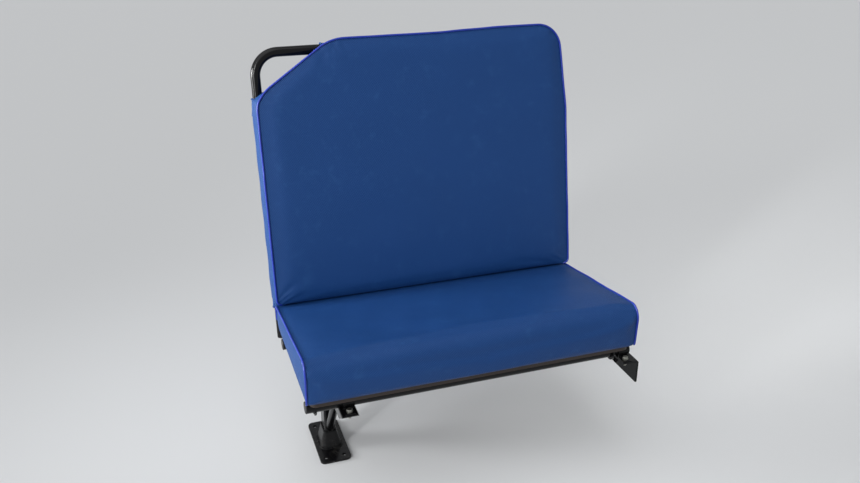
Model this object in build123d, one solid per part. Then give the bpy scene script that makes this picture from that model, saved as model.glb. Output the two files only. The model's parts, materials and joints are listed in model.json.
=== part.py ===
from build123d import *
import os
from math import cos, radians, sin, tan

# Fixed double passenger seat of a city bus, with a grab handle formed by its own frame tube.
# Millimetres. The origin is on the floor, in the middle of the pedestal foot's bolts.
# -X is the aisle, +X the side wall, -Y the way the passengers face, +Z up.

# Overall sizes
seat_width = 867.0        # aisle side to window side of the upholstery
aisle_inset = 110.0       # aisle side to the middle of the pedestal
wall_gap = 20.0           # upholstery to the side wall
seat_height = 396.0       # top of the cushion where it meets the backrest
handle_rise = 644.0       # grab tube's middle above that point
recline = 10.0            # lean of the backrest, degrees
cushion_depth = 400.0     # backrest to the cushion's front
back_setback = 159.5      # grab tube's middle behind the foot of the backrest's front
cushion_rear_y = 80.0     # where the backrest's front meets the cushion

# Bent tube that carries the backrest and shows as the grab handle
back_tube_d = 25.0
back_tube_wall = 2.0
back_tube_bend = 60.0
aisle_cover = 4.5         # upholstery outside the tube on the aisle side
window_cover = 16.0       # and on the window side, where the pad leans in

# Upholstered backrest, measured from the plane of the bent tube
pad_front = 46.0
pad_back = 32.0
pad_side_draw = 12.0      # the front is narrower than the tube plane on the aisle side
pad_window_draw = 3.0
pad_back_draw = 7.0
pad_top = 25.0            # front's top edge above the grab tube's middle, aisle half
pad_ridge_drop = 7.0      # the top and the cut lie this much lower over the tube
pad_top_step = 5.0        # the window half stands this much higher
step_window_in = 215.0    # the climb ends this far from the window side
step_run = 140.0
diagonal_angle = 34.0     # cut-off aisle corner that frees the handle
diagonal_low = 115.0      # the cut meets the aisle side this far under the tube's middle
diagonal_top_bend = 118.0
shoulder_front_bend = 80.0
shoulder_tube_bend = 12.0
window_corner_bend = 66.0
window_flare = 4.6        # degrees that the window side leans in near its top
window_flare_low = 200.0  # where the lean starts, below the tube's middle
pad_foot_bend = 18.0

# Seat cushion: a wedge with a rolled front on a plywood board
cushion_rear_height = 62.0
cushion_rise = 56.0
cushion_roll = 36.0
cushion_heel_bend = 30.0   # rounded lower rear edge
cushion_edge_bend = 14.0
cushion_back_bend = 8.0     # upper rear edge, which meets the backrest
cushion_front_lean = 8.0
cushion_plan_bend = 20.0
cushion_rear_reach = 15.0  # the cushion runs this far under the backrest
cushion_side_in = 3.0
lip_reach = 30.0           # lip at the rear, under the backrest and between the uprights
lip_clear = 16.0
lip_root = 35.0
lip_thick = 16.0
lip_undercut = 46.0        # from the cushion's top down to the lip's root
lip_bend = 7.0
board_thick = 12.0
board_inset = 16.0
back_over_cushion = 2.5    # shadow gap between backrest and cushion

# Underframe: two cross tubes, end plates and a middle bearer
cross_tube_d = 30.0
cross_tube_wall = 2.0
cross_front_y = -250.0
cross_rear_y = 62.0
cross_aisle_in = 12.0      # tube end inside the aisle side
cross_wall_in = 9.0        # tube end short of the wall plate
plate_thick = 4.0
plate_lobe = 7.0           # metal round each tube hole
plate_flange = 26.0
plate_bend = 2.0           # inside radius of every fold in sheet steel
plate_slot_high = 12.0
plate_slot_count = 3
plate_slot_bridge = 26.0   # metal between two slots
ear_half_width = 14.0
ear_top_gap = 22.0         # ear stops this far below the backrest
bearer_width = 34.0
bearer_thick = 2.0
bearer_height = 10.4

# Pedestal under the aisle half
post_x = 30.0
post_y = 50.0
post_wall = 2.5
post_bend = 6.0
head_thick = 4.0
head_flange = 26.0
head_reach = 44.0          # head runs past each cross tube's middle
head_nose = 40.0           # length of the sloping cut at each end
brace_d = 22.0
brace_wall = 2.0
brace_foot_z = 72.0
brace_top_y = -170.0
foot_thick = 6.0
foot_x = 84.0
foot_y = 190.0
foot_bend = 14.0
foot_bolt_x = 50.0
foot_bolt_y = 150.0
foot_hole_r = 5.5
flare_height = 46.0
flare_slope = 16.0         # degrees, on all four sides
flare_wall = 2.5

# Wall bracket and the straps that hold the cross tubes
wall_leg = 66.0
wall_shelf = 46.0
wall_thick = 5.0
wall_slot_long = 32.0
wall_slot_r = 5.5
wall_slot_pitch = 260.0
wall_slot_drop = 40.0
gusset_thick = 4.0
gusset_clip = 6.0          # corner cut off to clear the bend of the angle
strap_thick = 3.0
strap_width = 26.0
strap_bend = 3.0
strap_ear = 24.0
strap_hole_r = 4.5
strap_wall_in = 6.0        # strap inside the tube's wall end

# Plastic plugs in the open tube ends
cap_flange = 3.0
cap_depth = 14.0
cap_edge = 1.2

# Clearances
touch = 0.3               # curved faces that seat on each other
weld_gap = 0.15           # plate beside a tube
hole_fit = 0.3            # cross tube in its plate

# Places that follow from the sizes above
aisle_x = -aisle_inset
window_x = seat_width - aisle_inset
wall_x = window_x + wall_gap
lean = radians(recline)
handle_y = cushion_rear_y + back_setback
handle_z = seat_height + handle_rise
back_plane = Plane(origin=(0, handle_y, handle_z), x_dir=(1, 0, 0), z_dir=(0, -cos(lean), sin(lean)))
upright_aisle_x = aisle_x + aisle_cover + back_tube_d / 2
upright_window_x = window_x - window_cover - back_tube_d / 2
board_top = seat_height - cushion_rear_height
board_low = board_top - board_thick
cross_z = board_low - bearer_height - touch - cross_tube_d / 2
shelf_z = cross_z - cross_tube_d / 2 - touch
pad_foot = (back_over_cushion - handle_rise - pad_front * sin(lean)) / cos(lean)
upright_end = (cross_z - handle_z) / cos(lean)
cushion_front_y = cushion_rear_y - cushion_depth
cross_places = {"front": cross_front_y, "rear": cross_rear_y}
strap_bolt_out = cross_tube_d / 2 + strap_thick + strap_ear / 2
plate_fold = plate_thick + plate_bend
flare_out = flare_height * tan(radians(flare_slope))


def tube_bar(length, outer_r, inner_r):
    """Straight tube along X from X = 0."""
    solid = Plane.YZ * extrude(Circle(outer_r), length)
    return solid - Plane.YZ * extrude(Circle(inner_r), length)


def rounded_bar(size_x, size_y, bend, height):
    return extrude(RectangleRounded(size_x, size_y, bend), height)


def back_tube_path():
    """Inverted U in the plane of the backrest, through both bent corners."""
    corners = [
        (upright_aisle_x, upright_end),
        (upright_aisle_x, 0),
        (upright_window_x, 0),
        (upright_window_x, upright_end),
    ]
    return back_plane * FilletPolyline(*corners, radius=back_tube_bend)


def along_back_tube(section):
    path = back_tube_path()
    start = Plane(origin=path @ 0, x_dir=(1, 0, 0), z_dir=path % 0)
    return sweep(start * section, path=path)


def back_frame_tube():
    outer = along_back_tube(Circle(back_tube_d / 2))
    return outer - along_back_tube(Circle(back_tube_d / 2 - back_tube_wall))


def pad_outline(aisle_in, window_in, top_in, shoulder_bend):
    """Backrest outline in the tube's plane: side, cut-off corner, stepped top, leaning side."""
    left = aisle_x + aisle_in
    right = window_x - window_in
    top = pad_top - top_in
    slope = tan(radians(diagonal_angle))
    cut_low = -diagonal_low + aisle_in * slope - top_in
    cut_top_x = left + (top - cut_low) / slope
    flare_in = (window_flare_low + top) * tan(radians(window_flare))
    step_top = top + pad_top_step
    points = [
        (left, pad_foot),
        (left, cut_low),
        (cut_top_x, top),
        (window_x - step_window_in - step_run, top),
        (window_x - step_window_in, step_top),
        (right - flare_in, step_top),
        (right, -window_flare_low),
        (right, pad_foot),
    ]
    outline = make_face(Polyline(*points, close=True))
    bends = {
        0: pad_foot_bend,
        1: shoulder_bend,
        2: diagonal_top_bend,
        5: window_corner_bend,
        7: pad_foot_bend,
    }
    for index, bend in bends.items():
        spot = Vector(*points[index])
        corner = outline.vertices().sort_by_distance(spot)[0]
        outline = fillet(corner, bend)
    return outline


def backrest_pad():
    """Upholstered backrest; its foam has a square channel that the bent tube runs through."""
    back_drop = pad_ridge_drop + pad_back_draw
    back = pad_outline(pad_back_draw, pad_back_draw, back_drop, shoulder_tube_bend)
    middle = pad_outline(0, 0, pad_ridge_drop, shoulder_tube_bend)
    front = pad_outline(pad_side_draw, pad_window_draw, 0, shoulder_front_bend)
    sections = [
        back_plane * Pos(0, 0, -pad_back) * back,
        back_plane * middle,
        back_plane * Pos(0, 0, pad_front) * front,
    ]
    pad = loft(sections, ruled=True)
    channel = back_tube_d + 2 * touch
    return pad - along_back_tube(Rectangle(channel, channel))


def cushion_profile():
    """Side view of the cushion: level foot, rising top, rolled front."""
    rear = cushion_rear_y + cushion_rear_reach
    rear_top = seat_height - cushion_rear_reach * cushion_rise / cushion_depth
    front_top = seat_height + cushion_rise
    points = [
        (cushion_front_y + cushion_front_lean, board_top),
        (rear, board_top),
        (rear, rear_top),
        (cushion_front_y, front_top),
    ]
    bends = [cushion_edge_bend, cushion_heel_bend, cushion_back_bend, cushion_roll]
    profile = make_face(Polyline(*points, close=True))
    for spot, bend in zip(points, bends):
        corner = profile.vertices().sort_by_distance(Vector(*spot))[0]
        profile = fillet(corner, bend)
    return profile


def cushion_lip():
    """Undercut lip that carries the cushion's top in under the backrest."""
    left = upright_aisle_x + back_tube_d / 2 + lip_clear
    right = upright_window_x - back_tube_d / 2 - lip_clear
    rear = cushion_rear_y + cushion_rear_reach
    slope = cushion_rise / cushion_depth
    rear_top = seat_height - cushion_rear_reach * slope
    end_top = rear_top - lip_reach * slope
    points = [
        (rear - lip_root, rear_top - lip_undercut),
        (rear, rear_top - lip_undercut),
        (rear + lip_reach, end_top - lip_thick),
        (rear + lip_reach, end_top),
        (rear - lip_root, rear_top + lip_root * slope),
    ]
    profile = make_face(Polyline(*points, close=True))
    for spot in points[2:4]:
        corner = profile.vertices().sort_by_distance(Vector(*spot))[0]
        profile = fillet(corner, lip_bend)
    return Pos(left, 0, 0) * extrude(Plane.YZ * profile, right - left)


def seat_cushion():
    left = aisle_x + cushion_side_in
    right = window_x - cushion_side_in
    bar = extrude(Plane.YZ * cushion_profile(), right - left)
    bar = Pos(left, 0, 0) * bar
    rear = cushion_rear_y + cushion_rear_reach
    plan = RectangleRounded(right - left, rear - cushion_front_y, cushion_plan_bend)
    middle = Pos((left + right) / 2, (rear + cushion_front_y) / 2, board_top)
    bar &= middle * extrude(plan, cushion_rear_height + cushion_rise + cushion_roll)
    return bar + cushion_lip()


def cushion_board():
    left = aisle_x + board_inset
    right = window_x - board_inset
    front = cushion_front_y + cushion_front_lean + board_inset
    rear = cushion_rear_y
    middle = Pos((left + right) / 2, (front + rear) / 2, board_low)
    return middle * rounded_bar(right - left, rear - front, board_inset, board_thick)


def cross_tube(place):
    start = aisle_x + cross_aisle_in
    end = wall_x - wall_thick - cross_wall_in
    radius = cross_tube_d / 2
    return Pos(start, place, cross_z) * tube_bar(end - start, radius, radius - cross_tube_wall)


def upright_spot(drop):
    """Point (Y, Z) on an upright's middle line, drop below the grab tube along the lean."""
    return handle_y + drop * sin(lean), handle_z + drop * cos(lean)


def plate_profile():
    """End plate in side view: a band between the cross tubes and an ear beside the upright."""
    lobe_r = cross_tube_d / 2 + hole_fit + plate_lobe
    band_low = cross_z - cross_tube_d / 4
    ear_high = pad_foot - ear_top_gap
    rear_edge = upright_spot(upright_end)[0] + ear_half_width
    front_edge = cross_front_y - lobe_r
    band_size = (rear_edge - front_edge, board_low - band_low)
    band_middle = ((rear_edge + front_edge) / 2, (board_low + band_low) / 2)
    profile = Pos(*band_middle) * Rectangle(*band_size)
    for place in cross_places.values():
        profile += Pos(place, cross_z) * Circle(lobe_r)
    ear_mid = upright_spot((ear_high + upright_end) / 2)
    ear = RectangleRounded(2 * ear_half_width, ear_high - upright_end + ear_half_width, 8)
    profile += Pos(*ear_mid) * Rot(0, 0, -recline) * ear
    for place in cross_places.values():
        profile -= Pos(place, cross_z) * Circle(cross_tube_d / 2 + hole_fit)
    window = cross_rear_y - cross_front_y - 2 * lobe_r
    slot_pitch = window / plate_slot_count
    for index in range(plate_slot_count):
        middle = cross_front_y + lobe_r + slot_pitch * (index + 0.5)
        spot = Pos(middle, (board_low - plate_fold + band_low) / 2)
        profile -= spot * SlotOverall(slot_pitch - plate_slot_bridge, plate_slot_high)
    return profile


def folded_strip(length, leg_low, reach, thick):
    """Folded edge in the XZ plane from X = 0: an upright leg, a bend and a level flange, along +Y."""
    outer_bend = thick + plate_bend
    skin = Polyline(
        (0, leg_low),
        (0, 0),
        (reach, 0),
        (reach, -thick),
        (thick, -thick),
        (thick, leg_low),
        close=True,
    )
    face = make_face(skin)
    outer_corner = face.vertices().sort_by_distance(Vector(0, 0))[0]
    face = fillet(outer_corner, outer_bend)
    inner_corner = face.vertices().sort_by_distance(Vector(thick, -thick))[0]
    face = fillet(inner_corner, plate_bend)
    return Plane.XZ * extrude(face, -length)


def side_plate(side):
    """Pressed plate with its top edge folded inwards as a shelf for the board."""
    front = cross_front_y - cross_tube_d / 2 - hole_fit - plate_lobe
    fold_run = cushion_rear_y - front
    cleared = Pos(front + fold_run / 2, board_low) * Rectangle(fold_run, 2 * plate_fold)
    web = Plane.YZ * extrude(plate_profile() - cleared, plate_thick)
    plate = web + Pos(0, front, board_low) * folded_strip(fold_run, -plate_fold, plate_flange, plate_thick)
    if side == "aisle":
        return Pos(upright_aisle_x + back_tube_d / 2 + weld_gap, 0, 0) * plate
    return Pos(upright_window_x - back_tube_d / 2 - weld_gap, 0, 0) * mirror(plate, about=Plane.YZ)


def middle_bearer():
    """Low top-hat strip across both tubes, under the middle of the board."""
    front = cross_front_y - cross_tube_d
    rear = cushion_rear_y
    half = bearer_width / 2
    crown = half * 0.55
    low = board_low - bearer_height
    skin = Polyline(
        (-half, low),
        (-crown, low),
        (-crown, board_low - bearer_thick),
        (crown, board_low - bearer_thick),
        (crown, low),
        (half, low),
        (half, low + bearer_thick),
        (crown + bearer_thick, low + bearer_thick),
        (crown + bearer_thick, board_low),
        (-crown - bearer_thick, board_low),
        (-crown - bearer_thick, low + bearer_thick),
        (-half, low + bearer_thick),
        close=True,
    )
    hat = Plane.XZ * extrude(make_face(skin), -(rear - front))
    return Pos((aisle_x + window_x) / 2, front, 0) * hat


def strap(middle_x, place, width):
    """Omega strap over a cross tube, with a bolt hole in each ear."""
    inner = cross_tube_d / 2 + touch
    outer = inner + strap_thick
    foot = shelf_z
    arch = Pos(place, cross_z) * Circle(outer)
    arch += Pos(place, (foot + cross_z) / 2) * Rectangle(2 * outer, cross_z - foot)
    ears = Pos(place, foot + strap_thick / 2) * Rectangle(2 * (outer + strap_ear), strap_thick)
    room = Pos(place, cross_z) * Circle(inner)
    room += Pos(place, (foot + cross_z) / 2) * Rectangle(2 * inner, cross_z - foot)
    below = Pos(place, foot - outer) * Rectangle(4 * outer, 2 * outer)
    profile = arch + ears
    for side in (-1, 1):
        root = Vector(place + side * outer, foot + strap_thick)
        profile = fillet(profile.vertices().sort_by_distance(root)[0], strap_bend)
    profile = profile - room - below
    body = Pos(middle_x - width / 2, 0, 0) * (Plane.YZ * extrude(profile, width))
    for side in (-1, 1):
        hole = Cylinder(strap_hole_r, 4 * strap_thick)
        body -= Pos(middle_x, place + side * strap_bolt_out, foot) * hole
    return body


def strap_holes(middle_x, thick):
    """Bolt holes of both straps, as a cutter through the shelf that they stand on."""
    holes = []
    for place in cross_places.values():
        for side in (-1, 1):
            spot = Pos(middle_x, place + side * strap_bolt_out, shelf_z)
            holes.append(spot * Cylinder(strap_hole_r, 4 * thick))
    return holes


def channel_face(inner_half, wall, depth):
    """Open-bottomed channel in section, its top at Y = 0, with bent corners."""
    outer_half = inner_half + wall
    outer = Pos(0, -depth / 2) * Rectangle(2 * outer_half, depth)
    inner = Pos(0, -wall - depth / 2) * Rectangle(2 * inner_half, depth)
    for side in (-1, 1):
        outer_corner = outer.vertices().sort_by_distance(Vector(side * outer_half, 0))[0]
        outer = fillet(outer_corner, wall + plate_bend)
        inner_corner = inner.vertices().sort_by_distance(Vector(side * inner_half, -wall))[0]
        inner = fillet(inner_corner, plate_bend)
    return outer - inner


def pedestal_head():
    """Pressed channel, open below, that both cross tubes lie on."""
    inner = post_x / 2 + plate_bend
    front = cross_front_y - head_reach
    rear = cross_rear_y + head_reach
    depth = head_thick + head_flange
    channel = Plane.XZ * extrude(channel_face(inner, head_thick, depth), front - rear)
    head = Pos(0, front, shelf_z) * channel
    for hole in strap_holes(0, head_thick):
        head -= hole
    low = shelf_z - depth
    width = 2 * (inner + head_thick)
    for end, side in ((front, 1), (rear, -1)):
        wedge = Polyline(
            (end, low),
            (end + side * head_nose, low),
            (end, low + head_flange),
            close=True,
        )
        head -= Pos(-width / 2, 0, 0) * (Plane.YZ * extrude(make_face(wedge), width))
    return head


def pedestal_post():
    height = shelf_z - head_thick - foot_thick
    outer = rounded_bar(post_x, post_y, post_bend, height)
    bore = rounded_bar(post_x - 2 * post_wall, post_y - 2 * post_wall, post_bend - post_wall, height)
    return Pos(0, 0, foot_thick) * (outer - bore)


def pedestal_brace():
    """Sloping tube, mitred to the front of the post and to the underside of the head."""
    post_face = -post_y / 2
    head_low = shelf_z - head_thick
    low = Vector(0, post_face, brace_foot_z)
    high = Vector(0, brace_top_y, head_low)
    way = (high - low).normalized()
    spare = 2 * brace_d
    length = (high - low).length + 2 * spare
    start = Plane(origin=low - way * spare, z_dir=way)
    outer = start * extrude(Circle(brace_d / 2), length)
    bore = start * extrude(Circle(brace_d / 2 - brace_wall), length)
    room_y = 2 * length
    room = Pos(0, post_face - room_y / 2, head_low - length) * Box(room_y, room_y, 2 * length)
    return (outer - bore) & room


def foot_flare():
    """Pressed skirt round the post, with walls that slope out down to the foot plate."""
    grown = touch + flare_out
    low_x = post_x + 2 * grown
    low_y = post_y + 2 * grown
    low_bend = post_bend + grown
    skin = 2 * flare_wall
    inner_low = RectangleRounded(low_x, low_y, low_bend)
    outer_low = RectangleRounded(low_x + skin, low_y + skin, low_bend + flare_wall)
    outer = extrude(outer_low, flare_height, taper=flare_slope)
    inner = extrude(inner_low, flare_height, taper=flare_slope)
    return Pos(0, 0, foot_thick) * (outer - inner)


def pedestal_foot():
    plate = rounded_bar(foot_x, foot_y, foot_bend, foot_thick)
    for side_x in (-1, 1):
        for side_y in (-1, 1):
            spot = Pos(side_x * foot_bolt_x / 2, side_y * foot_bolt_y / 2, 0)
            plate -= spot * Cylinder(foot_hole_r, 4 * foot_thick)
    return plate


def wall_middle_y():
    return (cross_front_y + cross_rear_y) / 2


def wall_strap_x():
    """Middle of the straps on the wall side, a little inside the tube ends."""
    return wall_x - wall_thick - cross_wall_in - strap_wall_in - strap_width / 2


def wall_angle():
    """Angle along the side wall: slotted leg on the wall, shelf under both cross tubes."""
    front = cross_front_y - head_reach
    run = cross_rear_y + head_reach - front
    strip = mirror(folded_strip(run, -wall_leg, wall_shelf, wall_thick), about=Plane.YZ)
    angle = Pos(wall_x, front, shelf_z) * strip
    slot = Plane.YZ * extrude(SlotOverall(wall_slot_long, 2 * wall_slot_r), 4 * wall_thick, both=True)
    for side in (-1, 1):
        spot = Pos(wall_x, wall_middle_y() + side * wall_slot_pitch / 2, shelf_z - wall_slot_drop)
        angle -= spot * slot
    for hole in strap_holes(wall_strap_x(), wall_thick):
        angle -= hole
    return angle


def wall_gusset(side):
    """Triangular stiffener in the corner under the shelf."""
    inner_x = wall_x - wall_thick
    inner_z = shelf_z - wall_thick
    reach_x = wall_shelf - wall_thick - gusset_thick
    reach_z = wall_leg - wall_thick - gusset_thick
    corner = Polyline(
        (inner_x, inner_z - gusset_clip),
        (inner_x - gusset_clip, inner_z),
        (inner_x - reach_x, inner_z),
        (inner_x - reach_x, inner_z - gusset_thick),
        (inner_x - gusset_thick, inner_z - reach_z),
        (inner_x, inner_z - reach_z),
        close=True,
    )
    place = wall_middle_y() + side * (wall_slot_pitch / 2 - wall_slot_long)
    plate = Plane.XZ * extrude(make_face(corner), gusset_thick / 2, both=True)
    return Pos(0, place, 0) * plate


def end_plug(radius, wall):
    """Plug along +Z: a stem inside the tube and a flange over its end."""
    stem_r = radius - wall - touch / 2
    stem = Cylinder(stem_r, cap_depth, align=(Align.CENTER, Align.CENTER, Align.MIN))
    head = Cylinder(radius, cap_flange, align=(Align.CENTER, Align.CENTER, Align.MAX))
    head = chamfer(head.edges().sort_by(Axis.Z)[0], cap_edge)
    return stem + head


def cross_plug(place, side):
    plug = end_plug(cross_tube_d / 2, cross_tube_wall)
    if side == "aisle":
        spot = Plane(origin=(aisle_x + cross_aisle_in, place, cross_z), z_dir=(1, 0, 0))
    else:
        end = wall_x - wall_thick - cross_wall_in
        spot = Plane(origin=(end, place, cross_z), z_dir=(-1, 0, 0))
    return spot * plug


def upright_plug(middle_x):
    plug = end_plug(back_tube_d / 2, back_tube_wall)
    place_y, place_z = upright_spot(upright_end)
    spot = Plane(origin=(middle_x, place_y, place_z), x_dir=(1, 0, 0), z_dir=(0, sin(lean), cos(lean)))
    return spot * plug


def build():
    """Every node's name and its solid."""
    parts = {
        "back_frame_tube": back_frame_tube(),
        "backrest_pad": backrest_pad(),
        "seat_cushion": seat_cushion(),
        "cushion_board": cushion_board(),
        "side_plate_aisle": side_plate("aisle"),
        "side_plate_window": side_plate("window"),
        "middle_bearer": middle_bearer(),
        "pedestal_head": pedestal_head(),
        "pedestal_post": pedestal_post(),
        "pedestal_brace": pedestal_brace(),
        "foot_flare": foot_flare(),
        "pedestal_foot": pedestal_foot(),
        "wall_angle": wall_angle(),
        "wall_gusset_front": wall_gusset(-1),
        "wall_gusset_rear": wall_gusset(1),
        "upright_plug_aisle": upright_plug(upright_aisle_x),
        "upright_plug_window": upright_plug(upright_window_x),
    }
    for end, place in cross_places.items():
        parts[f"{end}_cross_tube"] = cross_tube(place)
        parts[f"{end}_plug_aisle"] = cross_plug(place, "aisle")
        parts[f"{end}_plug_wall"] = cross_plug(place, "wall")
        parts[f"{end}_strap_pedestal"] = strap(0, place, strap_width)
        parts[f"{end}_strap_wall"] = strap(wall_strap_x(), place, strap_width)
    return parts


os.makedirs("parts", exist_ok=True)
for name, shape in build().items():
    export_step(shape, f"parts/{name}.step")
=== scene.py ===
"""Looks of a fixed double passenger seat of a city bus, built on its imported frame.

Metres, in the frame's own axes: -X is the aisle, +X the side wall, -Y the way the passengers
face and +Z up. The upholstery is made here in place of the plain soft solids; the steel, the
plugs and the board keep their own meshes and get their finishes.
"""

import json
import logging
import math
from abc import ABC, abstractmethod
from collections.abc import Sequence
from dataclasses import dataclass, field
from enum import Enum

import bpy
import numpy as np
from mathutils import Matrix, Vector
from numpy.typing import NDArray


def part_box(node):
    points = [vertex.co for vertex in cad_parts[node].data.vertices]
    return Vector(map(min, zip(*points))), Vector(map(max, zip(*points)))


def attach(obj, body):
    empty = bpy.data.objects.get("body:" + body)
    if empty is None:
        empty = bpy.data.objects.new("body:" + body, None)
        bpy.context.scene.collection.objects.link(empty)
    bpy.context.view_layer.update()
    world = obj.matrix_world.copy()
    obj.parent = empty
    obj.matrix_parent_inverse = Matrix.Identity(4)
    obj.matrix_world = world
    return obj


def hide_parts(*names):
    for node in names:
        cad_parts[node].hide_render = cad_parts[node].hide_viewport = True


Array = NDArray[np.float64]
Colour = tuple[float, float, float]

BODY = "root"
CLOTH_MAP = "cloth"
SEAM_MAP = "seam_distance"
TUBE_RADIUS = 0.0125
NOISE_SPAN = (0.2, 0.8)
ALONG_X, ALONG_Y, ALONG_Z = np.eye(3)
LOG = logging.getLogger("seat")

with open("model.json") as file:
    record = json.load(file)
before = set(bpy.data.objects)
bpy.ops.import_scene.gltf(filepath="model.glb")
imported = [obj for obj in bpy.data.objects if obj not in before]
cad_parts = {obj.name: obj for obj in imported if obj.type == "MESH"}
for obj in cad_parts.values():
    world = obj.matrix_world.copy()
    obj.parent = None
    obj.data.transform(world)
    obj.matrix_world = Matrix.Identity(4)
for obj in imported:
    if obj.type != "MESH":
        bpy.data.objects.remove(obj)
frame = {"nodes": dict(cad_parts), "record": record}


class Slot(Enum):
    """Material slots of the record."""

    UPHOLSTERY = "upholstery"
    BLACK_PAINT = "black_paint"
    BLACK_PLASTIC = "black_plastic"
    BOARD = "board"


def linear(red: int, green: int, blue: int) -> Colour:
    """Scene-linear colour of an 8-bit display colour.

    Args:
        red: Red, 0 to 255.
        green: Green, 0 to 255.
        blue: Blue, 0 to 255.

    Returns:
        The three linear values: ((c + 0.055) / 1.055) ** 2.4 above the dark end, c / 12.92 in it.
    """
    shown = [value / 255 for value in (red, green, blue)]
    return tuple(c / 12.92 if c <= 0.04045 else ((c + 0.055) / 1.055) ** 2.4 for c in shown)


def shaded(colour: Colour, factor: float) -> Colour:
    """The colour times a factor, channel by channel."""
    return tuple(channel * factor for channel in colour)


class Wiring:
    """Short way to add nodes to a material and to join them."""

    def __init__(self, name: str) -> None:
        """Starts a material that has only its output and a principled shader.

        Args:
            name: Name of the new material.
        """
        self.material = bpy.data.materials.new(name)
        self.material.use_nodes = True
        self.tree = self.material.node_tree
        self.tree.nodes.clear()
        self.shader = self.tree.nodes.new("ShaderNodeBsdfPrincipled")
        output = self.tree.nodes.new("ShaderNodeOutputMaterial")
        self.join(self.shader.outputs[0], output.inputs["Surface"])

    def join(self, source: bpy.types.NodeSocket, target: bpy.types.NodeSocket) -> None:
        """Links an output to an input."""
        self.tree.links.new(source, target)

    def put(self, target: bpy.types.NodeSocket, value: object) -> None:
        """Links a socket, or writes a plain value, into an input.

        Args:
            target: The input.
            value: A node socket, a number or a tuple.
        """
        if isinstance(value, bpy.types.NodeSocket):
            self.join(value, target)
        elif isinstance(value, tuple) and len(value) == 3 and target.type == "RGBA":
            target.default_value = (*value, 1.0)
        else:
            target.default_value = value

    def node(self, kind: str, **settings: object) -> bpy.types.Node:
        """Adds a node and sets its plain properties.

        Args:
            kind: Type name of the node.
            settings: Properties by name.

        Returns:
            The new node.
        """
        made = self.tree.nodes.new(kind)
        for key, value in settings.items():
            setattr(made, key, value)
        return made

    def fed(self, made: bpy.types.Node, *values: object) -> bpy.types.Node:
        """Puts values into a node's inputs in order, and returns the node."""
        for socket, value in zip(made.inputs, values):
            self.put(socket, value)
        return made

    def math(self, operation: str, *values: object, clamp: bool = False) -> bpy.types.NodeSocket:
        """Result of a Math node on up to three values."""
        made = self.node("ShaderNodeMath", operation=operation, use_clamp=clamp)
        return self.fed(made, *values).outputs[0]

    def plus(self, first: object, second: object) -> bpy.types.NodeSocket:
        """Sum of two values."""
        return self.math("ADD", first, second)

    def times(self, first: object, second: object) -> bpy.types.NodeSocket:
        """Product of two values."""
        return self.math("MULTIPLY", first, second)

    def vector(self, operation: str, *values: object, result: int = 0) -> bpy.types.NodeSocket:
        """Result of a Vector Math node; output 1 is its scalar."""
        made = self.node("ShaderNodeVectorMath", operation=operation)
        return self.fed(made, *values).outputs[result]

    def axis(self, vector: bpy.types.NodeSocket, name: str) -> bpy.types.NodeSocket:
        """One coordinate of a vector, by the name X, Y or Z."""
        return self.fed(self.node("ShaderNodeSeparateXYZ"), vector).outputs[name]

    def spread(
        self, value: object, low: float, high: float, to_low: float = 0.0, to_high: float = 1.0
    ) -> bpy.types.NodeSocket:
        """Maps a value smoothly from one range to another.

        Args:
            value: Socket or number to map.
            low: Value that gives to_low.
            high: Value that gives to_high.
            to_low: Result at low.
            to_high: Result at high.

        Returns:
            The mapped value, held inside its range.
        """
        made = self.node("ShaderNodeMapRange", interpolation_type="SMOOTHSTEP")
        return self.fed(made, value, low, high, to_low, to_high).outputs[0]

    def blend(self, factor: object, first: object, second: object) -> bpy.types.NodeSocket:
        """Colour between first and second, by factor."""
        made = self.node("ShaderNodeMix", data_type="RGBA")
        for index, value in ((0, factor), (6, first), (7, second)):
            self.put(made.inputs[index], value)
        return made.outputs[2]

    def noise(
        self, place: object, scale: float, detail: float = 3.0, roughness: float = 0.55
    ) -> bpy.types.NodeSocket:
        """Grey noise at a place, scale in cells per metre."""
        made = self.node("ShaderNodeTexNoise")
        values = {"Vector": place, "Scale": scale, "Detail": detail, "Roughness": roughness}
        for name, value in values.items():
            self.put(made.inputs[name], value)
        return made.outputs[0]

    def object_place(self) -> bpy.types.NodeSocket:
        """Object coordinates in metres."""
        return self.node("ShaderNodeTexCoord").outputs["Object"]

    def cloth_place(self) -> bpy.types.NodeSocket:
        """Metres along and across the cloth, from the piece's own UV map."""
        return self.node("ShaderNodeUVMap", uv_map=CLOTH_MAP).outputs[0]

    def bump(self, height: object, distance: float, strength: float = 1.0) -> None:
        """Joins a height in units of distance to the shader's normal.

        Args:
            height: Height field.
            distance: Metres that a height of 1 stands for.
            strength: Share of the effect.
        """
        made = self.node("ShaderNodeBump")
        for name, value in (("Height", height), ("Distance", distance), ("Strength", strength)):
            self.put(made.inputs[name], value)
        self.join(made.outputs[0], self.shader.inputs["Normal"])

    def dress(self, **values: object) -> bpy.types.Material:
        """Writes the shader's own sockets, named with underscores for spaces.

        Args:
            values: Value or socket for each input.

        Returns:
            The finished material.
        """
        for key, value in values.items():
            self.put(self.shader.inputs[key.replace("_", " ")], value)
        return self.material


class Finish(ABC):
    """A surface finish that makes its material once."""

    name: str

    @abstractmethod
    def wired(self) -> bpy.types.Material:
        """Builds the nodes of the finish."""

    def material(self) -> bpy.types.Material:
        """The finish's material, made on first use."""
        return bpy.data.materials.get(self.name) or self.wired()


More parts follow.
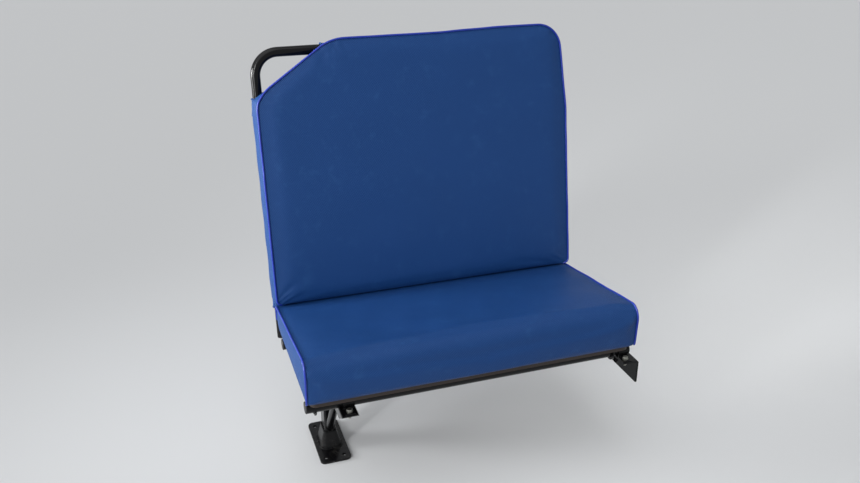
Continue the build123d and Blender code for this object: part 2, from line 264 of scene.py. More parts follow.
@dataclass(frozen=True)
class CoatedCloth(Finish):
    """Blue coated cloth, embossed with a staggered lattice of small paler studs."""

    name: str = "coated_cloth"
    ground: Colour = linear(6, 46, 101)
    stud: Colour = linear(42, 86, 142)
    pitch_across: float = 0.0046
    pitch_up: float = 0.0040
    stud_radius: float = 0.00105
    stud_slope: tuple[float, float] = (1.25, 0.45)
    stud_height: float = 0.00022
    tone_shift: float = 0.08
    tone_scale: float = 5.0
    grain_scale: float = 900.0
    grain_height: float = 0.25
    wear: float = 0.35
    wear_span: tuple[float, float] = (0.52, 0.75)
    wear_scale: float = 26.0
    wear_tone: float = 0.85
    rough: tuple[float, float] = (0.48, 0.58)
    rough_shift: float = 0.08
    specular: float = 0.21
    relief: float = 0.8
    gather_reach: float = 0.0132
    gather_scale: float = 105.0
    gather_height: float = 9.0

    def lattice(self, wiring: Wiring) -> bpy.types.NodeSocket:
        """Stud mask: 1 inside a stud and 0 between, on two rectangular lattices half a cell apart.

        Args:
            wiring: The material being built.

        Returns:
            The mask.
        """
        pitch = (self.pitch_across, self.pitch_up, 1.0)
        cells = wiring.vector("DIVIDE", wiring.cloth_place(), pitch)
        reaches = []
        for shift in (0.0, 0.5):
            moved = wiring.vector("ADD", cells, (shift, shift, 0.0))
            inside = wiring.vector("SUBTRACT", wiring.vector("FRACTION", moved), (0.5, 0.5, 0.0))
            flat = wiring.vector("MULTIPLY", inside, (self.pitch_across, self.pitch_up, 0.0))
            reaches.append(wiring.vector("LENGTH", flat, result=1))
        nearest = wiring.math("MINIMUM", *reaches)
        return wiring.spread(nearest, *(self.stud_radius * share for share in self.stud_slope))

    def wired(self) -> bpy.types.Material:
        """Builds the nodes: studs, slow tone changes, fine grain and handling marks."""
        wiring = Wiring(self.name)
        place = wiring.object_place()
        studs = self.lattice(wiring)
        slow = wiring.noise(place, self.tone_scale, detail=2.0)
        fine = wiring.noise(place, self.grain_scale, detail=4.0)
        darker, paler = (shaded(self.ground, 1 + shift) for shift in (-self.tone_shift, self.tone_shift))
        patchy = wiring.noise(place, self.wear_scale, detail=6.0, roughness=0.7)
        worn = wiring.spread(patchy, *self.wear_span, 0.0, self.wear)
        colour = wiring.blend(studs, wiring.blend(slow, darker, paler), self.stud)
        colour = wiring.blend(worn, colour, shaded(self.stud, self.wear_tone))
        even = wiring.spread(slow, *NOISE_SPAN, *self.rough)
        rough = wiring.plus(even, wiring.times(fine, self.rough_shift))
        rough = wiring.math("SUBTRACT", rough, wiring.times(studs, self.rough_shift))
        height = wiring.plus(studs, wiring.times(fine, self.grain_height))
        height = wiring.plus(height, self.gathers(wiring, place))
        wiring.bump(height, self.stud_height, self.relief)
        return wiring.dress(Base_Color=colour, Roughness=rough, Specular_IOR_Level=self.specular)

    def gathers(self, wiring: Wiring, place: bpy.types.NodeSocket) -> bpy.types.NodeSocket:
        """Small puckers that die out away from the seams, by the mesh's own seam distance.

        Args:
            wiring: The material being built.
            place: Object coordinates.

        Returns:
            Height in units of the stud height.
        """
        distance = wiring.node("ShaderNodeAttribute", attribute_name=SEAM_MAP).outputs["Fac"]
        fade = wiring.spread(distance, self.gather_reach, 0.0)
        pucker = wiring.noise(place, self.gather_scale, detail=2.0, roughness=0.5)
        return wiring.times(fade, wiring.times(pucker, self.gather_height))


@dataclass(frozen=True)
class PipingVinyl(Finish):
    """Smooth cobalt vinyl of the piping cord."""

    name: str = "piping_vinyl"
    colour: Colour = linear(20, 47, 152)
    tones: tuple[float, float] = (0.86, 1.12)
    tone_scale: float = 14.0
    grain_scale: float = 1500.0
    grain_height: float = 0.00012
    rough: tuple[float, float] = (0.28, 0.38)

    def wired(self) -> bpy.types.Material:
        """Builds the nodes: slight tone changes and a fine leather-like grain."""
        wiring = Wiring(self.name)
        place = wiring.object_place()
        slow = wiring.noise(place, self.tone_scale)
        grain = wiring.noise(place, self.grain_scale, detail=2.0)
        colour = wiring.blend(slow, *(shaded(self.colour, tone) for tone in self.tones))
        wiring.bump(grain, self.grain_height)
        rough = wiring.spread(slow, *NOISE_SPAN, *self.rough)
        return wiring.dress(Base_Color=colour, Roughness=rough)


@dataclass(frozen=True)
class PowderCoat(Finish):
    """Black semi-gloss powder coat with fine orange peel, rubbed and dusty near the floor."""

    name: str = "powder_coat"
    colour: Colour = linear(10, 10, 12)
    dust: Colour = linear(62, 60, 56)
    dust_top: float = 0.10
    dust_most: float = 0.30
    dust_span: tuple[float, float] = (0.45, 0.75)
    dust_scale: float = 60.0
    dust_rough: float = 0.6
    scuff_most: float = 0.3
    scuff_span: tuple[float, float] = (0.68, 0.76)
    scuff_scale: float = 220.0
    scuff_stretch: float = 0.12
    scuff_tone: float = 0.7
    tone_scale: float = 12.0
    rough: tuple[float, float] = (0.17, 0.21)
    peel_scale: float = 750.0
    peel_height: float = 0.00002
    specular: float = 0.22

    def wired(self) -> bpy.types.Material:
        """Builds the nodes: dust fades out with height, scuffs are stretched noise."""
        wiring = Wiring(self.name)
        place = wiring.object_place()
        low = wiring.spread(wiring.axis(place, "Z"), self.dust_top, 0.0)
        speckle = wiring.noise(place, self.dust_scale, detail=5.0, roughness=0.65)
        dusty = wiring.times(low, wiring.spread(speckle, *self.dust_span, 0.0, self.dust_most))
        drawn = wiring.vector("MULTIPLY", place, (1.0, 1.0, self.scuff_stretch))
        scuff = wiring.noise(drawn, self.scuff_scale, detail=2.0)
        scuff = wiring.times(wiring.spread(scuff, *self.scuff_span, 0.0, self.scuff_most), low)
        colour = wiring.blend(dusty, self.colour, self.dust)
        colour = wiring.blend(scuff, colour, shaded(self.dust, self.scuff_tone))
        tone = wiring.spread(wiring.noise(place, self.tone_scale), *NOISE_SPAN, *self.rough)
        rough = wiring.math("ADD", tone, wiring.times(dusty, self.dust_rough), clamp=True)
        wiring.bump(wiring.noise(place, self.peel_scale, detail=1.0), self.peel_height)
        return wiring.dress(Base_Color=colour, Roughness=rough, Specular_IOR_Level=self.specular)


@dataclass(frozen=True)
class MouldedPlastic(Finish):
    """Black moulded plastic of the tube plugs, with a spark-eroded grain."""

    name: str = "moulded_plastic"
    colour: Colour = linear(28, 28, 30)
    tones: tuple[float, float] = (0.8, 1.3)
    grain_scale: float = 2600.0
    grain_height: float = 0.00008
    rough: float = 0.55

    def wired(self) -> bpy.types.Material:
        """Builds the nodes: one grain noise drives both the tone and the bump."""
        wiring = Wiring(self.name)
        grain = wiring.noise(wiring.object_place(), self.grain_scale, detail=2.0)
        colour = wiring.blend(grain, *(shaded(self.colour, tone) for tone in self.tones))
        wiring.bump(grain, self.grain_height)
        return wiring.dress(Base_Color=colour, Roughness=self.rough)


@dataclass(frozen=True)
class Plywood(Finish):
    """Film-faced plywood: dark brown resin film on the faces, sealed plies on the edges."""

    name: str = "plywood"
    pale: Colour = linear(52, 38, 30)
    dark: Colour = linear(36, 26, 21)
    glue: Colour = linear(20, 15, 13)
    ply: float = 0.0017
    glue_span: tuple[float, float] = (0.35, 0.60)
    grain_span: tuple[float, float] = (0.30, 0.75)
    grain_scale: float = 160.0
    grain_stretch: float = 0.05
    grain_height: float = 0.0002
    rough: float = 0.5
    face_from: float = 0.7

    def wired(self) -> bpy.types.Material:
        """Builds the nodes: it is a face where the normal's Z, without its sign, is over face_from."""
        wiring = Wiring(self.name)
        place = wiring.object_place()
        drawn = wiring.vector("MULTIPLY", place, (self.grain_stretch, 1.0, 1.0))
        grain = wiring.noise(drawn, self.grain_scale, detail=6.0, roughness=0.65)
        face = wiring.blend(wiring.spread(grain, *self.grain_span), self.pale, self.dark)
        layer = wiring.math("PINGPONG", wiring.axis(place, "Z"), self.ply)
        layer = wiring.spread(layer, *(self.ply * share for share in self.glue_span))
        edge = wiring.blend(layer, self.pale, self.glue)
        normal = wiring.node("ShaderNodeNewGeometry").outputs["Normal"]
        level = wiring.math("ABSOLUTE", wiring.axis(normal, "Z"))
        level = wiring.math("GREATER_THAN", level, self.face_from)
        wiring.bump(grain, self.grain_height)
        return wiring.dress(Base_Color=wiring.blend(level, edge, face), Roughness=self.rough)


@dataclass(frozen=True)
class ZincPlate(Finish):
    """Dull zinc plating of bolts, nuts and washers."""

    name: str = "zinc_plate"
    colour: Colour = linear(176, 176, 168)
    dull_tone: float = 0.7
    cloud_scale: float = 320.0
    cloud_span: tuple[float, float] = (0.3, 0.7)
    cloud_height: float = 0.00006
    rough: tuple[float, float] = (0.32, 0.5)

    def wired(self) -> bpy.types.Material:
        """Builds the nodes: cloudy tone and roughness of a passivated layer."""
        wiring = Wiring(self.name)
        cloud = wiring.noise(wiring.object_place(), self.cloud_scale, detail=4.0)
        colour = wiring.blend(cloud, shaded(self.colour, self.dull_tone), self.colour)
        rough = wiring.spread(cloud, *self.cloud_span, *self.rough)
        wiring.bump(cloud, self.cloud_height)
        return wiring.dress(Base_Color=colour, Metallic=1.0, Roughness=rough)


def crowded(steps: int, crowd: float) -> Array:
    """Shares from 0 to 1 that are drawn towards both ends.

    Share i is (1 - crowd) * i / steps + crowd * (1 - cos(pi * i / steps)) / 2.

    Args:
        steps: Number of spans.
        crowd: 0 for even spans, towards 1 for spans that shrink at the ends.

    Returns:
        steps + 1 shares.
    """
    even = np.linspace(0.0, 1.0, steps + 1)
    return (1 - crowd) * even + crowd * (1 - np.cos(np.pi * even)) / 2


def travelled(points: Array) -> Array:
    """Distance along a polyline from its first point to each of its points."""
    return np.concatenate([[0.0], np.cumsum(np.linalg.norm(np.diff(points, axis=0), axis=1))])


def resampled(points: Array, steps: int, crowd: float = 0.0) -> Array:
    """Points along a polyline at crowded shares of its length.

    Args:
        points: Polyline, one row a point.
        steps: Number of spans.
        crowd: How strongly the spans shrink towards the ends, as in crowded().

    Returns:
        steps + 1 points.
    """
    along = travelled(points)
    wanted = crowded(steps, crowd) * along[-1]
    return np.stack([np.interp(wanted, along, column) for column in points.T], axis=1)


def outward_of(step: Array) -> Array:
    """Unit normals (y, -x) of an anticlockwise outline's steps (x, y)."""
    outward = np.stack([step[..., 1], -step[..., 0]], axis=-1)
    return outward / np.linalg.norm(outward, axis=-1, keepdims=True)


@dataclass(frozen=True)
class RoundedOutline:
    """Closed outline of straight runs joined by tangent arcs, anticlockwise."""

    corners: Array
    radii: Array
    arc_steps: int = 24
    run_steps: int = 40

    def dense(self) -> Array:
        """Points round the outline.

        Each corner's arc starts radius * tan(turn / 2) before the corner and is
        start + radius * (sin(a) * heading + (1 - cos(a)) * inward) for a from 0 to the turn.

        Returns:
            One row a point; corner i's arc starts at row i * (arc_steps + run_steps).
        """
        before = self.corners - np.roll(self.corners, 1, axis=0)
        heading = before / np.linalg.norm(before, axis=1, keepdims=True)
        leaving = np.roll(heading, -1, axis=0)
        cross = heading[:, 0] * leaving[:, 1] - heading[:, 1] * leaving[:, 0]
        turn = np.arctan2(cross, np.sum(heading * leaving, axis=1))
        radius = self.radii
        start = self.corners - heading * (radius * np.tan(np.abs(turn) / 2))[:, None]
        inward = np.sign(turn)[:, None] * np.stack([-heading[:, 1], heading[:, 0]], axis=1)
        angle = np.abs(turn)[:, None] * np.linspace(0.0, 1.0, self.arc_steps)
        along = np.sin(angle)[..., None] * heading[:, None]
        across = (1 - np.cos(angle))[..., None] * inward[:, None]
        arcs = start[:, None] + radius[:, None, None] * (along + across)
        share = np.linspace(0.0, 1.0, self.run_steps + 2)[1:-1, None]
        ends = arcs[:, -1][:, None]
        runs = ends + share * (np.roll(arcs[:, 0], -1, axis=0)[:, None] - ends)
        return np.concatenate([arcs, runs], axis=1).reshape(-1, 2)

    def middle_of(self, corner: int) -> int:
        """Row of dense() in the middle of a corner's arc."""
        return corner * (self.arc_steps + self.run_steps) + self.arc_steps // 2


@dataclass(frozen=True)
class FourSides:
    """How a closed ring is cut into four sides for a filled panel."""

    across: int
    up: int
    crowd: float = 0.75

    def ring(self, outline: RoundedOutline, cuts: Sequence[int]) -> Array:
        """The outline resampled side by side, from the low left cut anticlockwise.

        Args:
            outline: The outline.
            cuts: Corners whose arcs' middles end the sides: low left, low right, high right, high left.

        Returns:
            2 * (across + up) points, the last one step before the first.
        """
        dense = outline.dense()
        rows = [outline.middle_of(corner) for corner in cuts]
        turned = np.roll(dense, -rows[0], axis=0)
        ends = [(row - rows[0]) % len(dense) for row in rows] + [len(dense)]
        looped = np.vstack([turned, turned[:1]])
        counts = (self.across, self.up, self.across, self.up)
        sides = [
            resampled(looped[low : high + 1], steps, self.crowd)[:-1]
            for low, high, steps in zip(ends[:-1], ends[1:], counts)
        ]
        return np.vstack(sides)

    def filled(self, ring: Array) -> Array:
        """Coons patch inside a ring.

        Each inner point is the blend of the low and high sides, plus the blend of the left and
        right sides, less the blend of the four corners.

        Args:
            ring: Closed ring as ring() gives it, in two or three dimensions.

        Returns:
            Grid of (up + 1, across + 1) points.
        """
        closed = np.vstack([ring, ring[:1]])
        low = closed[: self.across + 1]
        right = closed[self.across : self.across + self.up + 1]
        high = closed[self.across + self.up : 2 * self.across + self.up + 1][::-1]
        left = closed[2 * self.across + self.up :][::-1]
        s = crowded(self.across, self.crowd)[None, :, None]
        t = crowded(self.up, self.crowd)[:, None, None]
        rows = (1 - t) * low[None] + t * high[None]
        columns = (1 - s) * left[:, None] + s * right[:, None]
        low_corners = (1 - s) * (1 - t) * low[0] + s * (1 - t) * low[-1]
        return rows + columns - (low_corners + (1 - s) * t * high[0] + s * t * high[-1])

    def reaches(self, grid: Array) -> Array:
        """Distances of a filled panel's points to its left, right, low and high sides.

        Args:
            grid: (up + 1, across + 1, any) points.

        Returns:
            (4, up + 1, across + 1) distances along the grid's own lines.
        """
        width = np.linalg.norm(grid[:, -1] - grid[:, 0], axis=1)[:, None]
        height = np.linalg.norm(grid[-1] - grid[0], axis=1)[None]
        s = crowded(self.across, self.crowd)[None]
        t = crowded(self.up, self.crowd)[:, None]
        return np.stack([s * width, (1 - s) * width, t * height, (1 - t) * height])


@dataclass
class Skin:
    """Grids of points that are welded into one mesh with a cloth map and a seam distance."""

    name: str
    points: list[Array] = field(default_factory=list)
    maps: list[Array] = field(default_factory=list)
    reaches: list[Array] = field(default_factory=list)
    quads: list[NDArray[np.int64]] = field(default_factory=list)
    weld: float = 1e-6

    def add(
        self, grid: Array, cloth: Array | None = None, reach: Array | float = 1.0, turned: bool = False
    ) -> None:
        """Adds a grid; its faces point along (column direction) x (row direction).

        Args:
            grid: (rows, columns, 3) points.
            cloth: (rows, columns, 2) metres along and across the cloth, or None for zeros.
            reach: (rows, columns) distance to the nearest seam, metres, or one number.
            turned: True turns the faces over.
        """
        rows, columns = grid.shape[:2]
        start = sum(len(part) for part in self.points)
        index = np.arange(rows * columns).reshape(rows, columns) + start
        corners = [index[:-1, :-1], index[:-1, 1:], index[1:, 1:], index[1:, :-1]]
        if turned:
            corners.reverse()
        self.quads.append(np.stack(corners, axis=-1).reshape(-1, 4))
        self.points.append(grid.reshape(-1, 3))
        flat = np.zeros((rows * columns, 2)) if cloth is None else cloth.reshape(-1, 2)
        self.maps.append(flat)
        self.reaches.append(np.broadcast_to(reach, (rows, columns)).reshape(-1))

    def welded(self) -> tuple[NDArray[np.int64], NDArray[np.int64]]:
        """Which points are kept when coincident ones are made one, and where each point went.

        Returns:
            Rows of the kept points, and for each given point its place among them.
        """
        keys = np.round(np.vstack(self.points) / self.weld).astype(np.int64)
        _, first, place = np.unique(keys, axis=0, return_index=True, return_inverse=True)
        return first, place.reshape(-1)

    def object(self, smooth_angle: float = 40.0) -> bpy.types.Object:
        """Makes the mesh object: quads, and triangles where a quad has a doubled corner.

        Args:
            smooth_angle: Edges that turn more than this many degrees stay sharp.

        Returns:
            The new object, linked to the scene.
        """
        first, place = self.welded()
        kept = np.vstack(self.points)[first]
        source = np.vstack(self.quads)
        faces = place[source]
        same = faces == np.roll(faces, -1, axis=1)
        keep = ~same
        keep[same.sum(axis=1) > 1] = False
        loop_corner = keep.reshape(-1)
        loops = faces.reshape(-1)[loop_corner]
        sizes = keep.sum(axis=1)
        sizes = sizes[sizes > 0]
        starts = np.concatenate([[0], np.cumsum(sizes)[:-1]])
        mesh = bpy.data.meshes.new(self.name)
        mesh.vertices.add(len(kept))
        mesh.vertices.foreach_set("co", kept.astype(np.float32).reshape(-1))
        mesh.loops.add(len(loops))
        mesh.loops.foreach_set("vertex_index", loops.astype(np.int32))
        mesh.polygons.add(len(sizes))
        mesh.polygons.foreach_set("loop_start", starts.astype(np.int32))
        mesh.update(calc_edges=True)
        cloth = np.vstack(self.maps)[source.reshape(-1)[loop_corner]]
        mesh.uv_layers.new(name=CLOTH_MAP).data.foreach_set("uv", cloth.astype(np.float32).reshape(-1))
        reach = np.concatenate(self.reaches)[first]
        mesh.attributes.new(SEAM_MAP, "FLOAT", "POINT").data.foreach_set("value", reach.astype(np.float32))
        mesh.shade_smooth()
        mesh.set_sharp_from_angle(angle=math.radians(smooth_angle))
        made = bpy.data.objects.new(self.name, mesh)
        bpy.context.scene.collection.objects.link(made)
        return made


def frames_along(path: Array, lead: Array, closed: bool) -> tuple[Array, Array]:
    """Two cross directions at each point of a path.

    The tangent is the difference of the neighbouring points; the first direction is the lead
    with its share along the tangent taken out, and the second is tangent x first.

    Args:
        path: (n, 3) points.
        lead: Direction, or one a point, that the first cross direction follows.
        closed: Whether the path's ends meet.

    Returns:
        First and second cross directions, (n, 3) each.
    """
    if closed:
        tangent = np.roll(path, -1, axis=0) - np.roll(path, 1, axis=0)
    else:
        tangent = np.gradient(path, axis=0)
    tangent /= np.linalg.norm(tangent, axis=1, keepdims=True)
    lead = np.broadcast_to(lead, path.shape)
    first = lead - np.sum(lead * tangent, axis=1, keepdims=True) * tangent
    first /= np.linalg.norm(first, axis=1, keepdims=True)
    return first, np.cross(tangent, first)


def spokes(angle: Array, first: Array, second: Array) -> Array:
    """Directions cos(a) * first + sin(a) * second, one row a point and one column an angle."""
    turn = angle[None, :, None]
    return np.cos(turn) * first[:, None] + np.sin(turn) * second[:, None]


def carried(
    path: Array, lead: Array, radius: Array | float, around: int, closed: bool = False
) -> tuple[Array, Array]:
    """Round section carried along a path: path + radius * (cos(a) * first + sin(a) * second).

    Args:
        path: (n, 3) points.
        lead: Direction of angle 0, as in frames_along.
        radius: One number, one a point, or (n, around + 1) numbers.
        around: Steps round the section.
        closed: Whether the path's ends meet.

    Returns:
        Grid of points, first and last column alike, and its cloth map in metres.
    """
    first, second = frames_along(path, lead, closed)
    angle = np.linspace(0.0, 2 * np.pi, around + 1)
    if np.ndim(radius) == 1:
        radius = radius[:, None]
    radius = np.broadcast_to(radius, (len(path), around + 1))
    grid = path[:, None] + radius[..., None] * spokes(angle, first, second)
    along = travelled(path)
    cloth = np.stack(np.broadcast_arrays(along[:, None], angle[None] * radius.mean()), axis=-1)
    if closed:
        grid = np.concatenate([grid, grid[:1]])
        lap = np.linalg.norm(path[0] - path[-1])
        cloth = np.concatenate([cloth, cloth[:1] + [[[along[-1] + lap, 0.0]]]])
    return grid, cloth


def blunt(path: Array, radius: float) -> Array:
    """Radius along a path whose ends are rounded off.

    Within one radius of an end it is radius * sqrt(1 - (1 - distance / radius) ** 2).

    Args:
        path: (n, 3) points.
        radius: Radius away from the ends.

    Returns:
        One radius a point, zero at both ends.
    """
    along = travelled(path)
    end = np.clip(np.minimum(along, along[-1] - along) / radius, 0, 1)
    return radius * np.sqrt(1 - (1 - end) ** 2)


def turned_profile(profile: Array, around: int, limit: Array | None = None) -> Array:
    """Profile of (radius, height) turned about the Z axis.

    Args:
        profile: (n, 2) radii and heights from the low pole to the high one.
        around: Steps round the axis.
        limit: Largest radius at each row and angle, for a hexagon, or None.

    Returns:
        Grid of (n, around + 1, 3) points whose faces point outwards.
    """
    angle = np.linspace(0.0, 2 * np.pi, around + 1)
    radius = np.broadcast_to(profile[:, :1], (len(profile), around + 1))
    if limit is not None:
        radius = np.minimum(radius, limit)
    height = np.broadcast_to(profile[:, 1:], radius.shape)
    return np.stack([radius * np.cos(angle), radius * np.sin(angle), height], axis=-1)


def hexagon(flats: float, around: int) -> Array:
    """Radius of a hexagon at each angle: half its width over flats / cos(angle from that flat's middle).

    Two of its corners are on the X axis, so two of its flats face along Y.

    Args:
        flats: Width over flats.
        around: Steps round the axis, a multiple of 6.

    Returns:
        around + 1 radii.
    """
    angle = np.linspace(0.0, 2 * np.pi, around + 1)
    return flats / 2 / np.cos(np.mod(angle + 1e-9, np.pi / 3) - np.pi / 6)


def smooth(share: Array) -> Array:
    """Smooth step from 0 to 1: s * s * (3 - 2 s) with the share s held between 0 and 1."""
    held = np.clip(share, 0, 1)
    return held * held * (3 - 2 * held)


def ripples(x: Array, y: Array, wavelength: float, seed: int, waves: int = 9) -> Array:
    """Smooth pseudo-random field: sum of plane sine waves of drawn headings, lengths and phases.

    The sum is divided by the root of the number of waves.

    Args:
        x: First coordinate, metres.
        y: Second coordinate, metres.
        wavelength: Middle wavelength, metres.
        seed: Seed of the draw.
        waves: Number of waves.

    Returns:
        Field that stays mostly between -1 and 1.
    """
    draw = np.random.default_rng(seed)
    heading = draw.uniform(0, 2 * np.pi, waves)
    length = wavelength * draw.uniform(0.7, 1.5, waves)
    phase = draw.uniform(0, 2 * np.pi, waves)
    shape = (waves,) + (1,) * np.ndim(x)
    heading, length, phase = (part.reshape(shape) for part in (heading, length, phase))
    turn = (np.cos(heading) * x + np.sin(heading) * y) / length
    return np.sin(2 * np.pi * turn + phase).sum(axis=0) / math.sqrt(waves)


@dataclass(frozen=True)
class LeaningPlane:
    """The bent tube's plane: across along X, up along the lean, forward square to it."""

    origin_y: float
    origin_z: float
    lean: float = math.radians(10)

    def place(self, across: Array, up: Array, forward: Array) -> Array:
        """Points from measures in the plane: origin + up * (0, sin, cos) + forward * (0, -cos, sin).

        Args:
            across: X.
            up: Distance up the lean.
            forward: Distance in front of the plane.

        Returns:
            Points, one a last-axis row.
        """
        across, up, forward = np.broadcast_arrays(across, up, forward)
        sine, cosine = math.sin(self.lean), math.cos(self.lean)
        depth = self.origin_y + up * sine - forward * cosine
        height = self.origin_z + up * cosine + forward * sine
        return np.stack([across, depth, height], axis=-1)

    def forward(self) -> Array:
        """Unit direction out of the plane, towards the passenger's front."""
        return np.array([0.0, -math.cos(self.lean), math.sin(self.lean)])

    def upward(self) -> Array:
        """Unit direction up the lean."""
        return np.array([0.0, math.sin(self.lean), math.cos(self.lean)])


@dataclass(frozen=True)
class Swelling:
    """Cloth simulation that fills a closed cover like foam."""

    pressure: float = 4.0
    cap: float = 0.006
    frames: int = 20
    stiffness: float = 12.0

    def fill(self, cover: bpy.types.Object, seams: NDArray[np.bool_]) -> None:
        """Swells a cover between its pinned seams and writes the result into its mesh.

        A point's move is shortened to cap * tanh(length / cap), so it nears the cap and never
        passes it.

        Args:
            cover: The cover, at the origin.
            seams: True for the points that stay where they are.
        """
        group = cover.vertex_groups.new(name="seams")
        group.add(np.flatnonzero(seams).tolist(), 1.0, "REPLACE")
        cloth = cover.modifiers.new("filling", "CLOTH")
        settings = cloth.settings
        settings.vertex_group_mass = group.name
        settings.use_pressure = True
        settings.uniform_pressure_force = self.pressure
        settings.tension_stiffness = self.stiffness
        settings.compression_stiffness = self.stiffness
        settings.effector_weights.gravity = 0.0
        cloth.point_cache.frame_start = 1
        cloth.point_cache.frame_end = self.frames
        scene = bpy.context.scene
        for step in range(1, self.frames + 1):
            scene.frame_set(step)
        start = vertex_places(cover.data)
        shown = cover.evaluated_get(bpy.context.evaluated_depsgraph_get())
        move = vertex_places(shown.data) - start
        length = np.linalg.norm(move, axis=1, keepdims=True)
        move *= self.cap * np.tanh(length / self.cap) / np.maximum(length, 1e-9)
        cover.modifiers.remove(cloth)
        cover.vertex_groups.remove(group)
        scene.frame_set(1)
        cover.data.vertices.foreach_set("co", (start + move).astype(np.float32).reshape(-1))
        cover.data.update()
        LOG.info("%s swelled by up to %.1f mm", cover.name, 1000 * np.linalg.norm(move, axis=1).max())


def vertex_places(mesh: bpy.types.Mesh) -> Array:
    """Vertex coordinates of a mesh as (n, 3)."""
    flat = np.empty(len(mesh.vertices) * 3, np.float32)
    mesh.vertices.foreach_get("co", flat)
    return flat.reshape(-1, 3).astype(float)


def nearest_rows(points: Array, targets: Array, reach: float = 1e-5) -> NDArray[np.bool_]:
    """Which points lie within reach of any target, by rounding both to cells of that size.

    Args:
        points: (n, 3) points to test.
        targets: (m, 3) points to be near.
        reach: Cell size, metres.

    Returns:
        True for each point that shares a cell with a target.
    """
    span = 1 << 20
    cells = (np.round(part / reach).astype(np.int64) for part in (points, targets))
    return np.isin(*((cell * [span * span, span, 1]).sum(axis=1) for cell in cells))


class SubAssembly(ABC):
    """A group of pieces that ride on the seat."""

    @abstractmethod
    def build(self) -> list[bpy.types.Object]:
        """Makes the pieces and returns them."""

    def keep(
        self, piece: bpy.types.Object, finish: Finish, slot: Slot | None = None
    ) -> bpy.types.Object:
        """Gives a piece its finish and the body that it rides.

        Args:
            piece: The piece.
            finish: Its finish.
            slot: Record slot of the piece, if it has one; not used.

        Returns:
            The same piece.
        """
        piece.data.materials.clear()
        piece.data.materials.append(finish.material())
        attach(piece, BODY)
        return piece


@dataclass(frozen=True)
class Collar:
    """One gathered collar on the tube: its ends across and up, its flare and its folds' seed."""

    name: str
    base: tuple[float, float]
    hem: tuple[float, float]
    flare: float
    seed: int


